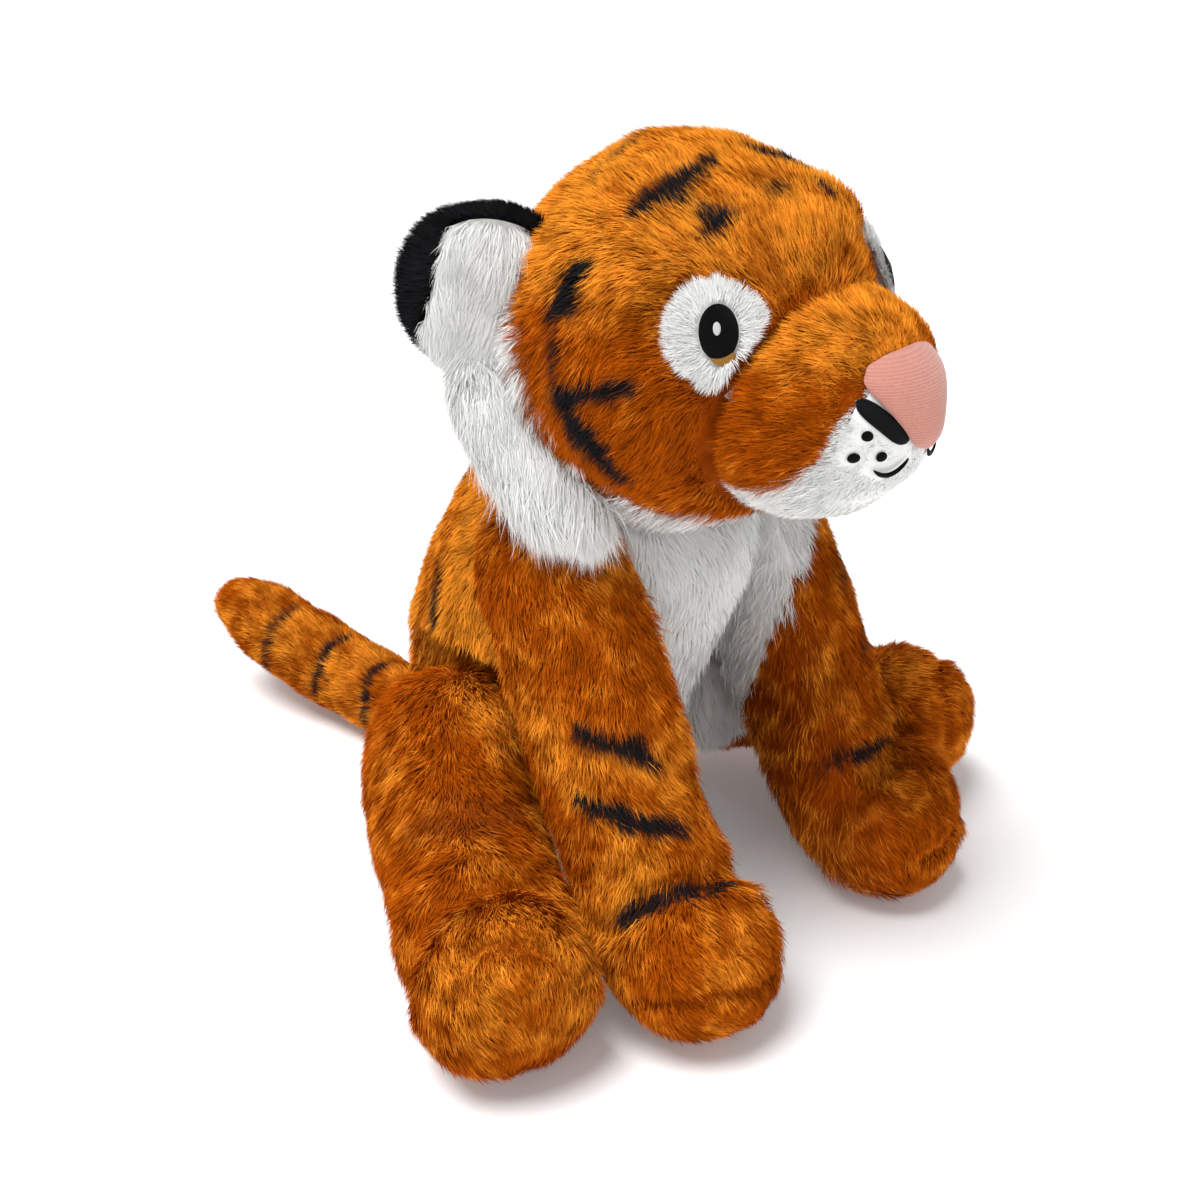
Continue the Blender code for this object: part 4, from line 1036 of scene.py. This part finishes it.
class TIGER_OT_head(SidedOperator, bpy.types.Operator):
    """Pile of the head, one piece for each side, with the white behind the cheeks and round the eyes"""

    bl_idname = "tiger.head"
    bl_label = "Head"

    def comb(self, points, normals):
        """Away from the nose, up over the forehead, and down at the sides of the face and the back."""
        away = unit(points - np.array((0, -0.128, 0.196)))
        side = smooth(np.abs(points[:, 0]), 0.030, 0.052)[:, None]
        back = smooth(points[:, 1], -0.05, -0.01)[:, None]
        return away * (1 - 0.6 * side - 0.3 * back) + np.array((0, 0.15, -1.0)) * (0.75 * side + 0.6 * back)

    def make_side(self, side, s):
        form = SHAPED_HEAD

        def behind(points):
            return stripes(form, HEAD_WHITES, s, points, 14)

        def keep(points, t, u):
            bare = (eye_share(points, s) < 1.0) | (MUZZLE_FORM.inside(points) < 0.95)
            return on_side(s)(points, t, u) & ~bare

        def paint(points):
            white = np.maximum(behind(points), 1 - smooth(eye_share(points, s), 0.98, 1.06))
            mark = stripes(form, HEAD_STRIPES, s, points, 15) * (1 - white)
            # Paler tips towards the top of the head: painted light from above.
            return {"mark": mark, "white": white, "gold": 1.0 * smooth(points[:, 2], 0.198, 0.234) - 0.25}

        def tall(points):
            """Short in the crease beside the muzzle and round the eye, long behind the face."""
            crease = 1 - CREASE_SHORTER * near(MUZZLE_FORM, points, MUZZLE_NEAR)
            crease = crease * (0.45 + 0.55 * smooth(eye_share(points, s), 1.0, 1.5))
            return crease * (1 + 0.6 * behind(points))

        pile = Pile(40 + s)
        pile.skin(form, settings().skin_inset, free, on_side(s), paint)
        pile.strands(
            form, settings().root_depth, free, keep, paint, self.comb, number_for(form, 0.5),
            settings().body_pile, lean=1.02, tall=tall,
        )
        pile.build("head_" + side, "head", "orange_pile", "head_cover", fill=0.9)


class TIGER_OT_muzzle(TigerOperator, bpy.types.Operator):
    """Pile of the muzzle: orange over its bridge and cheeks, white on its front and chin"""

    bl_idname = "tiger.muzzle"
    bl_label = "Muzzle"

    def make(self):
        form = SHAPED_MUZZLE

        def outside(points, t, u):
            return HEAD_FORM.inside(points) > 0.96

        def keep_orange(points, t, u):
            return outside(points, t, u) & (chin_side(points) < 0.001)

        def keep_white(points, t, u):
            return outside(points, t, u) & (chin_side(points) > -0.001)

        def keep_chin(points, t, u):
            return keep_white(points, t, u) & (thread_room(points) > 0.0002)

        def orange(points):
            # Paler towards the top of the bridge: partly the pile's own paler tone, partly painted light
            # from above.
            gold = 1.3 * smooth(points[:, 2], 0.192, 0.212) - 0.3
            return {"white": smooth(chin_side(points), -0.0015, 0.0015), "gold": gold}

        def tall(points):
            """Short in the crease beside the head, under the chin, and by the nose and mouth."""
            crease = 1 - CREASE_SHORTER * near(HEAD_FORM, points, 1.12)
            front = 1 - 0.5 * smooth(-points[:, 1], 0.114, 0.124)
            front = front - 0.3 * smooth(-points[:, 2], -0.172, -0.160) * smooth(-points[:, 1], 0.095, 0.110)
            return crease * front * (0.5 + 0.5 * smooth(thread_room(points), 0, 0.003))

        def comb(points, normals):
            back = np.array((0, 1.0, -0.25)) + 0 * points
            back[:, 0] = 6 * points[:, 0]
            return back

        def comb_chin(points, normals):
            away = points - np.array((0, -0.130, 0.186))
            away[:, 1] *= 0.3
            return unit(away) + np.array((0, 0.25, -0.35))

        white = paint_all(white=1.0)
        inset, depth = settings().skin_inset, settings().root_depth * 0.85
        pile = Pile(51)
        pile.skin(form, inset, free, outside, orange)
        pile.strands(
            form, depth, free, keep_orange, orange, comb, number_for(form, 0.62), settings().body_pile,
            lean=1.0, tall=tall,
        )
        pile.build("muzzle_pile", "head", "orange_pile", "muzzle_cover", fill=0.9)
        chin = Pile(52)
        chin.skin(form, inset - CHIN_RISE, free, keep_white, white)
        chin.strands(
            form, depth - CHIN_RISE, free, keep_chin, white, comb_chin, number_for(form, 0.44),
            settings().body_pile * 0.8, lean=1.05, tall=tall, width=0.00025,
        )
        chin.build("chin_pile", "head", "white_pile", "chin_panel")


def outward(points, quads, way):
    """The quads turned so that they face along way."""
    a, b, c = (points[quads[:, k]] for k in (0, 1, 2))
    flips = (np.cross(b - a, c - a).sum(axis=0) * np.array(way)).sum() < 0
    return quads[:, ::-1] if flips else quads


def domed(form, starts_at, lift, dome, way, reach, rows, columns):
    """A padded patch of thread. starts_at(r, turn) gives start points for r from 0 in the middle to 1 at the
    edge; they fall on the form along way, and rise against it by lift + dome * (1 - r^2)^0.5."""
    r, turn = turned_grid(rows, columns)
    r = np.sin(r * math.pi / 2)
    starts = starts_at(r, turn).reshape(-1, 3)
    rise = (lift + dome * np.sqrt(np.clip(1 - r ** 2, 0, 1))).reshape(-1, 1)
    points = form.fall(starts, way, reach) - np.array(way) * rise
    quads = outward(points, grid_quads(rows, columns), -np.array(way))
    places = np.stack([r * np.cos(turn), r * np.sin(turn)], axis=-1).reshape(-1, 2) * 0.5 + 0.5
    return points, quads, places


class TIGER_OT_eyes(SidedOperator, bpy.types.Operator):
    """White patches of short pile round the eyes, and on them black, amber and white thread"""

    bl_idname = "tiger.eyes"
    bl_label = "Eyes"

    def patch(self, name, side, s, shape, material, slot):
        size, shift, lift, dome = shape
        centre, normal, across, up = eye_frame(s)

        def starts_at(r, turn):
            u = (r * np.cos(turn) * size[0] / 2 + shift[0] * -s)[..., None]
            v = (r * np.sin(turn) * size[1] / 2 + shift[1])[..., None]
            return centre + normal * 0.03 + across * u + up * v

        points, quads, places = domed(HEAD_FORM, starts_at, lift, dome, -normal, 0.06, 12, 48)
        thread = mesh_piece(name + "_thread_" + side, points, quads, material, places)
        place(thread, "head", slot, name + "_" + side)

    def make_side(self, side, s):
        def keep(points, t, u):
            return (eye_share(points, s) < 1) & (MUZZLE_FORM.inside(points) > 0.97)

        def keep_round(points, t, u):
            return keep(points, t, u) & (in_eye(points, s) > 0.97)

        def comb(points, normals):
            return unit(points - sided(EYE_CENTRE, s)) + np.array((0, 0.2, -0.1))

        white = paint_all(white=1.0)
        pile = Pile(60 + s)
        pile.skin(HEAD_FORM, EYE_DEPTH, free, keep, white, rings=240, turns=320, t0=EYE_RING)
        pile.strands(
            HEAD_FORM, EYE_DEPTH, free, keep_round, white, comb, thinned(6000), 0.0042, lean=1.15,
            t0=EYE_RING, width=WHITE_WIDTH,
        )
        pile.build("eye_pile_" + side, "head", "white_pile", "eye_patch_" + side)
        black = thread_material("Black thread", BLACK_THREAD, 26.0, 0.08)
        amber = thread_material("Amber thread", tuple(settings().amber_colour), 12.0)
        shine = thread_material("White thread", (0.88, 0.89, 0.90), 9.0)
        self.patch("eye_black", side, s, EYE_BLACK, black, "black_thread")
        self.patch("eye_amber", side, s, EYE_AMBER, amber, "amber_thread")
        self.patch("eye_highlight", side, s, EYE_HIGHLIGHT, shine, "white_thread")


def muzzle_front(x, z, lift):
    """Points of the muzzle's front over (x, z), raised by lift."""
    shape = np.broadcast(x, z, lift).shape
    starts = np.stack(
        [np.broadcast_to(v, shape).ravel() for v in (x, np.full(1, BEFORE_MUZZLE), z)], axis=-1
    )
    points = MUZZLE_FORM.fall(starts, (0, 1, 0), MUZZLE_REACH)
    points[:, 1] -= np.broadcast_to(lift, shape).ravel()
    return points


class TIGER_OT_nose(TigerOperator, bpy.types.Operator):
    """The padded nose of short nap"""

    bl_idname = "tiger.nose"
    bl_label = "Nose"

    def edge(self, columns):
        """The outline's points spread evenly, with each drawn to its neighbours by the weights 1 2 3 2 1."""
        outline = np.array(NOSE_OUTLINE)
        loop = np.vstack([outline, outline[-2:0:-1] * (-1, 1), outline[:1]])
        at = np.linspace(0, len(loop) - 1, columns)
        edge = np.stack([np.interp(at, np.arange(len(loop)), loop[:, k]) for k in (0, 1)], axis=1)
        weights = np.array((1, 2, 3, 2, 1)) / 9
        edge[:-1] = sum(w * np.roll(edge[:-1], k - 2, axis=0) for k, w in enumerate(weights))
        edge[-1] = edge[0]
        return edge

    def material(self):
        look = Tree("Nose nap", 0.8, 0.4)
        rows = look.node(
            "TexWave", {"wave_type": "BANDS", "bands_direction": "Y"},
            {"Vector": look.node("UVMap", {"uv_map": "OFBake"}, {}), "Scale": 14.0, "Distortion": 3.0,
             "Detail Scale": 6.0},
            "Fac",
        )
        grain = look.noise(1400.0, 2.0) * 0.6 + rows * 0.4
        bump = look.node("Bump", {}, {"Strength": 0.6, "Distance": 0.0004, "Height": grain}, "Normal")
        colour = tuple(settings().nose_colour)
        deep = tuple(part * share for part, share in zip(colour, (0.72, 0.6, 0.6)))
        return look.set(Base_Color=look.mix(grain, deep, colour), Normal=bump)

    def make(self):
        """A point at share r from the middle to the edge is raised by 0.4 mm + 4.4 mm (1 - r^2.4)^0.5."""
        rows, columns = 22, 96
        edge = self.edge(columns)
        r = np.sin(np.linspace(0, 1, rows) * math.pi / 2)[:, None]
        x, z = (NOSE_MIDDLE[k] + r * (edge[:, k] - NOSE_MIDDLE[k]) for k in (0, 1))
        points = muzzle_front(x, z, 0.0004 + 0.0044 * (1 - r ** 2.4) ** 0.5 + 0 * x)
        quads = outward(points, grid_quads(rows, columns), (0, -1, 0))
        places = np.stack([x.ravel() * 20 + 0.5, (z.ravel() - 0.18) * 30], axis=1)
        nose = mesh_piece("nose_nap", points, quads, self.material(), places)
        place(nose, "head", "pink_nap", "nose_patch")


class TIGER_OT_mouth(SidedOperator, bpy.types.Operator):
    """Satin stitch of the lips and the mouth line, and the whisker dots"""

    bl_idname = "tiger.mouth"
    bl_label = "Mouth"

    def thread(self, name, points, quads, places, node):
        look = thread_material("Lip thread", BLACK_THREAD, 22.0, 0.08)
        place(mesh_piece(name, points, quads, look, places), "head", "black_thread", node)

    def band(self, name, ends, s, sag, half_width, lift, dome, node):
        """A band that hangs by the sag. Its half-width is w (1 - (2t - 1)^4)^0.5, and it is domed across as
        (1 - v^2)^0.5."""
        rows, columns = 48, 13
        t, v = np.meshgrid(np.linspace(0, 1, rows), np.linspace(-1, 1, columns), indexing="ij")
        start, end = np.array(ends)
        way = end - start
        square = np.array((-way[1], way[0])) / math.hypot(*way)
        round_end = np.sqrt(np.clip(1 - (2 * t - 1) ** 4, 0, 1))
        across = half_width * round_end * v
        x = s * (start[0] + way[0] * t + square[0] * across)
        z = start[1] + way[1] * t + square[1] * across - 4 * sag * t * (1 - t)
        points = muzzle_front(x, z, lift + dome * np.sqrt(1 - v ** 2) * round_end)
        quads = outward(points, grid_quads(rows, columns), (0, -1, 0))
        self.thread(name, points, quads, np.stack([t.ravel(), v.ravel() * 0.1 + 0.5], axis=1), node)

    def make_side(self, side, s):
        self.band("lip_thread_" + side, LIP, s, LIP_SAG, LIP_HALF_WIDTH, -0.0004, 0.0012, "lip_band_" + side)
        lift = MOUTH_LIFT[side]
        self.band("mouth_thread_" + side, MOUTH, s, MOUTH_SAG, MOUTH_HALF_WIDTH, lift, 0.0008,
                  "mouth_line_" + side)
        for number, (x, z) in enumerate(DOTS, 1):
            def starts_at(r, turn, x=x, z=z):
                u = s * x + r * np.cos(turn) * DOT_RADIUS
                v = z + r * np.sin(turn) * DOT_RADIUS
                return np.stack([u, np.full_like(u, BEFORE_MUZZLE), v], axis=-1)

            patch = domed(MUZZLE_FORM, starts_at, -0.0010, 0.0009, (0, 1, 0), MUZZLE_REACH, 8, 24)
            self.thread(f"dot_{side}_{number}", *patch, f"whisker_dot_{side}_{number}")


def ear_form(s):
    """The ear's form and the direction from its root to its top."""
    root, rise = sided(EAR_ROOT, s), unit(sided(EAR_RISE, s))
    normal = unit(np.cross(unit(sided(EAR_CHORD, s)), rise))
    front = normal if normal[1] < 0 else -normal
    start, end = root - rise * EAR_SUNK, root + rise * EAR_HEIGHT
    return Form(start, end, (0, 0, 0), EAR_WIDTH, EAR_THICKNESS, front, EAR_SHARES), rise


class TIGER_OT_ears(SidedOperator, bpy.types.Operator):
    """Black backs and rims of the ears, and their white fronts"""

    bl_idname = "tiger.ears"
    bl_label = "Ears"

    def make_side(self, side, s):
        form, rise = ear_form(s)
        root = sided(EAR_ROOT, s)

        def rim(points, t, u):
            """Near the ear's edge: round its sides and over its top."""
            return (np.abs(np.cos(u)) > 0.86) | (t > form.last - 1.45)

        def outside(points, t, u):
            return HEAD_FORM.inside(points) > 0.99

        def keep_black(points, t, u):
            return outside(points, t, u) & ((np.sin(u) < 0.10) | rim(points, t, u))

        def keep_white(points, t, u):
            return outside(points, t, u) & (np.sin(u) > 0) & ~rim(points, t, u)

        def comb(points, normals):
            return unit(points - root) + 0.8 * rise

        def comb_white(points, normals):
            return np.array((0.35 * s, -0.1, -0.9)) + 0.3 * unit(points - root)

        def tall(points):
            """Longest over the ear's top."""
            return 1 + 0.8 * smooth((points - root) @ rise, 0.5 * EAR_HEIGHT, EAR_HEIGHT)

        def tall_white(points):
            """Longest by the ear's root, where it runs into the ruff."""
            return 1 + 0.7 * smooth(-((points - root) @ rise), -0.5 * EAR_HEIGHT, 0)

        body, length = "ear_" + side, settings().ear_pile
        black, white = paint_all(mark=1.0), paint_all(white=1.0)
        back = Pile(70 + s)
        back.skin(form, 0.0014, free, keep_black, black, turns=120)
        back.strands(
            form, 0.0020, free, keep_black, black, comb, number_for(form, 1.4), length, lean=0.8, sway=0.4,
            clump=0.6, tall=tall,
        )
        back.build("ear_back_pile_" + side, body, "black_pile", "ear_back_" + side)
        inner = Pile(74 + s)
        inner.skin(form, 0.0018, free, keep_white, white, turns=120)
        inner.strands(
            form, 0.0022, free, keep_white, white, comb_white, number_for(form, 1.6), length * 1.8, lean=1.2,
            width=FINE_WIDTH, tall=tall_white,
        )
        inner.build("ear_front_pile_" + side, body, "white_pile", "ear_front_" + side)


class TIGER_OT_ruffs(SidedOperator, bpy.types.Operator):
    """Long white pile behind the cheeks"""

    bl_idname = "tiger.ruffs"
    bl_label = "Ruffs"

    def make_side(self, side, s):
        form = mirrored(RUFF, s)

        def outside(points, t, u):
            return HEAD_FORM.inside(points) > 0.97

        def comb(points, normals):
            return np.array((0.10 * s, -0.35, -0.95)) + 0 * points

        def tall(points):
            """Longest at the foot, where tufts hang over the shoulder."""
            return 1.0 + 0.9 * smooth(-points[:, 2], -0.172, -0.158)

        white = paint_all(white=1.0)
        pile = Pile(80 + s)
        pile.skin(form, RUFF_DEPTH, free, outside, white, rings=50, turns=60)
        pile.strands(
            form, RUFF_DEPTH, free, outside, white, comb, number_for(form, 2.6), settings().ruff_pile,
            lean=1.15, clump=0.5, tall=tall, width=FINE_WIDTH,
        )
        pile.build("ruff_pile_" + side, "head", "white_pile", "cheek_ruff_" + side)


def foreleg_form(s):
    form = mirrored(FORELEG, s)
    form.relief = creased(form, FORELEG_CREASES, s)
    return form


def foreleg_inner(points):
    """How far out the foreleg's inner side lies at each point's height."""
    return np.interp(points[:, 2], *FORELEG_FREE)


class LegOperator(SidedOperator):
    """Pile of the legs of one kind, which gives its own name, seams, form, inner side, paint and comb."""

    def make_side(self, side, s):
        form = self.form(s)

        def fix(points):
            points = free(points)
            points[:, 0] = s * np.maximum(points[:, 0] * s, self.inner(points) + SEAM_ROOM)
            return points

        def paint(points):
            return self.paint(form, points, side, s)

        def comb(points, normals):
            return self.comb(points, s)

        def weight(points):
            """Few strands on the inner side, against the torso, and on the sole."""
            hidden = (points[:, 0] * s < self.plane + 0.004) | (points[:, 2] < SOLE)
            return np.where(hidden, 0.15, 1.0)

        pile = Pile(self.seed + s)
        pile.skin(form, settings().skin_inset, fix, everywhere, paint)
        pile.strands(
            form, settings().root_depth, fix, everywhere, paint, comb, number_for(form, self.share),
            settings().body_pile, lean=1.02, weight=weight, tall=parted(form, self.seams, s),
        )
        leg = self.limb + "_" + side
        pile.build(leg, leg, "orange_pile", self.limb + "_cover_" + side, fill=0.85)


class TIGER_OT_forelegs(LegOperator, bpy.types.Operator):
    """Forelegs and paws"""

    bl_idname = "tiger.forelegs"
    bl_label = "Forelegs"
    limb, seed, seams, plane, share = "foreleg", 90, FORELEG_SEAMS, FORELEG_FREE[1][1], 0.9

    def form(self, s):
        return foreleg_form(s)

    def inner(self, points):
        return foreleg_inner(points)

    def paint(self, form, points, side, s):
        heights, reach, front = np.array(LEG_WHITE).T
        low = heights[0]
        over = np.interp(points[:, 2], heights, reach) - points[:, 0]
        inner = points[:, 1] - np.interp(points[:, 2], heights, front)
        inner = np.minimum(inner, LEG_WHITE_SIDE - points[:, 0])
        over, inner = np.minimum(over, LEG_WHITE_FRONT - points[:, 1]), np.minimum(inner, points[:, 2] - low)
        white = smooth(np.maximum(over, inner), -0.002, 0.003) if s > 0 else 0.0 * points[:, 0]
        mark = stripes(form, FORELEG_STRIPES[side], s, points, 17) * (1 - white)
        return {"mark": mark, "white": white, "gold": 0.1}

    def comb(self, points, s):
        """Down the leg, and forward over the paw."""
        forward = smooth(-points[:, 1], 0.085, 0.12)[:, None]
        return np.array((0, -0.25, -1.0)) * (1 - forward) + np.array((0, -0.8, -0.45)) * forward


class TIGER_OT_hind_legs(LegOperator, bpy.types.Operator):
    """Haunches and hind feet"""

    bl_idname = "tiger.hind_legs"
    bl_label = "Hind legs"
    limb, seed, seams, plane, share = "hind_leg", 94, HIND_SEAMS, HIP_PLANE, 0.85

    def form(self, s):
        form = mirrored(HIND_LEG, s)
        form.relief = creased(form, (*HIND_CREASES, HIND_SWELL), s)
        return form

    def inner(self, points):
        return HIP_PLANE

    def paint(self, form, points, side, s):
        inner = np.minimum(HAUNCH_WHITE[0] - points[:, 0] * s, HAUNCH_WHITE[1] - points[:, 1])
        white = smooth(inner, -0.002, 0.003) if s > 0 else 0.0 * inner
        gold = 0.25 * smooth(-points[:, 1], 0.055, 0.075)
        # mark lays the painted shade over the haunch and above the foot.
        return {"mark": stripes(form, HIND_SHADE_STRIPES, s, points, 19), "white": white, "gold": gold}

    def comb(self, points, s):
        """Down the haunch, and outwards and forward over the foot."""
        foot = smooth(-points[:, 1], 0.045, 0.075)[:, None]
        return np.array((0.15 * s, -0.15, -1.0)) * (1 - foot) + np.array((0.35 * s, -0.6, -0.5)) * foot


class TIGER_OT_tail(TigerOperator, bpy.types.Operator):
    """The tail, with dark rings and a dark tip"""

    bl_idname = "tiger.tail"
    bl_label = "Tail"

    def make(self):
        form = Form(*TAIL)

        def paint(points):
            return {"mark": stripes(form, TAIL_STRIPES, -1, points, 21), "gold": 0.35}

        def comb(points, normals):
            return np.array((-0.12, 1.0, 0.1)) + 0 * points

        pile = Pile(98)
        pile.skin(form, 0.0017, free, everywhere, paint)
        pile.strands(
            form, 0.0028, free, everywhere, paint, comb, number_for(form, 1.0), settings().body_pile * 0.9,
            lean=1.05,
        )
        pile.build("tail_pile", "tail", "orange_pile", "tail_cover", fill=0.8)


class TIGER_OT_filling(SidedOperator, bpy.types.Operator):
    """Fibre of the legs, drawn in from their creased forms, and the materials of what else is inside"""

    bl_idname = "tiger.filling"
    bl_label = "Filling"

    def limb(self, name, side, s, form, inner):
        rows, columns = 40, 49
        t, u = turned_grid(rows, columns, 0, form.last)
        points = (form.point(t, u) - form.normal(t, u) * FILLING_DEPTH).reshape(-1, 3)
        points[:, 2] = np.maximum(points[:, 2], FILLING_DEPTH)
        points[:, 0] = s * np.maximum(points[:, 0] * s, inner(points) + FILLING_DEPTH)
        quads = grid_quads(rows, columns)[:, ::-1]
        piece = mesh_piece(name + "_fibre_" + side, points, quads, self.fibre())
        place(piece, name + "_" + side, "fibre_filling", name + "_stuffing_" + side)

    def fibre(self):
        return cloth_material("Fibre", (0.82, 0.82, 0.80), 260.0, 0.002)

    def make_side(self, side, s):
        self.limb("foreleg", side, s, foreleg_form(s), foreleg_inner)
        hind_leg = mirrored(HIND_LEG, s)
        hind_leg.relief = creased(hind_leg, HIND_CREASES, s)
        self.limb("hind_leg", side, s, hind_leg, lambda points: HIP_PLANE)

    def make(self):
        super().make()
        pellets = cloth_material("Pellet cloth", (0.55, 0.57, 0.60), 700.0, 0.0006)
        for name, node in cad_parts.items():
            if name.endswith(("stuffing", "stuffing_right", "stuffing_left", "pellet_bag")):
                for held in node.material_slots:
                    held.material = pellets if name == "pellet_bag" else self.fibre()


class TIGER_OT_stage(TigerOperator, bpy.types.Operator):
    """White floor, soft lamps and the photo's camera"""

    bl_idname = "tiger.stage"
    bl_label = "Stage"

    def lamp(self, name, azimuth, elevation, spread, strength):
        """A broad sun whose light comes from an azimuth and an elevation, in degrees."""
        data = bpy.data.lights.new(name, "SUN")
        data.angle = math.radians(spread)
        data.energy = strength
        obj = bpy.data.objects.new(name, data)
        obj.rotation_euler = (math.radians(90 - elevation), 0, math.radians(azimuth))
        bpy.context.scene.collection.objects.link(obj)

    def floor(self):
        look = Tree("Floor", 0.9)
        look.set(Emission_Color=(1, 1, 1), Emission_Strength=0.1, Base_Color=(0.98, 0.98, 0.98))
        corners = np.array(((-1, -1, 0), (1, -1, 0), (1, 1, 0), (-1, 1, 0))) * FLOOR_HALF
        mesh_piece("floor", corners, np.array(((0, 1, 2, 3),)), look.material)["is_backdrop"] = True

    def studio(self):
        """A soft white sky, which the camera sees as plain white."""
        world = bpy.data.worlds.new("Studio")
        world.use_nodes = True
        bpy.context.scene.world = world
        nodes, links = world.node_tree.nodes, world.node_tree.links
        nodes["Background"].inputs["Color"].default_value = (1, 1, 1, 1)
        nodes["Background"].inputs["Strength"].default_value = 0.37
        sky = nodes.new("ShaderNodeBackground")
        sky.inputs["Color"].default_value = (1, 1, 1, 1)
        path, mixed = nodes.new("ShaderNodeLightPath"), nodes.new("ShaderNodeMixShader")
        links.new(path.outputs["Is Camera Ray"], mixed.inputs[0])
        links.new(nodes["Background"].outputs[0], mixed.inputs[1])
        links.new(sky.outputs[0], mixed.inputs[2])
        links.new(mixed.outputs[0], nodes["World Output"].inputs[0])

    def camera(self):
        azimuth, elevation = (math.radians(angle) for angle in CAMERA_ANGLES)
        level = math.cos(elevation)
        back = np.array((math.sin(azimuth) * level, -math.cos(azimuth) * level, math.sin(elevation)))
        camera = bpy.data.objects.new("Camera", bpy.data.cameras.new("Camera"))
        camera.data.lens = CAMERA_LENS
        camera.data.clip_start = 0.01
        camera.location = np.array(CAMERA_TARGET) + back * CAMERA_DISTANCE
        camera.rotation_euler = (math.pi / 2 - elevation, 0, azimuth)
        bpy.context.scene.collection.objects.link(camera)
        bpy.context.scene.camera = camera

    def make(self):
        self.floor()
        self.studio()
        self.lamp("Key", -112, 70, 34, 3.2)
        self.lamp("Front", -14, 10, 60, 0.85)
        self.camera()
        bpy.context.scene.view_settings.view_transform = "Standard"


OPERATORS = (
    TIGER_OT_torso, TIGER_OT_neck, TIGER_OT_head, TIGER_OT_muzzle, TIGER_OT_eyes, TIGER_OT_nose,
    TIGER_OT_mouth, TIGER_OT_ears, TIGER_OT_ruffs, TIGER_OT_forelegs, TIGER_OT_hind_legs, TIGER_OT_tail,
    TIGER_OT_filling, TIGER_OT_stage,
)


class TIGER_PT_panel(bpy.types.Panel):
    """The tiger's settings and steps"""

    bl_idname = "TIGER_PT_panel"
    bl_label = "Plush tiger"
    bl_space_type = "VIEW_3D"
    bl_region_type = "UI"
    bl_category = "Tiger"

    def draw(self, context):
        for name in TigerSettings.__annotations__:
            self.layout.prop(context.scene.tiger, name)
        for operator in OPERATORS:
            self.layout.operator(operator.bl_idname)


CLASSES = (TigerSettings, *OPERATORS, TIGER_PT_panel)


def register():
    for each in CLASSES:
        bpy.utils.register_class(each)
    bpy.types.Scene.tiger = PointerProperty(type=TigerSettings)


def unregister():
    del bpy.types.Scene.tiger
    for each in reversed(CLASSES):
        bpy.utils.unregister_class(each)


def plain(corners):
    return [[float(number) for number in corner] for corner in corners]


def main():
    frame_box = plain(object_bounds())
    register()
    for operator in OPERATORS:
        group, name = operator.bl_idname.split(".")
        getattr(getattr(bpy.ops, group), name)()
    {"frame": frame_box, "visual": plain(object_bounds())}


if __name__ == "__main__":
    main()
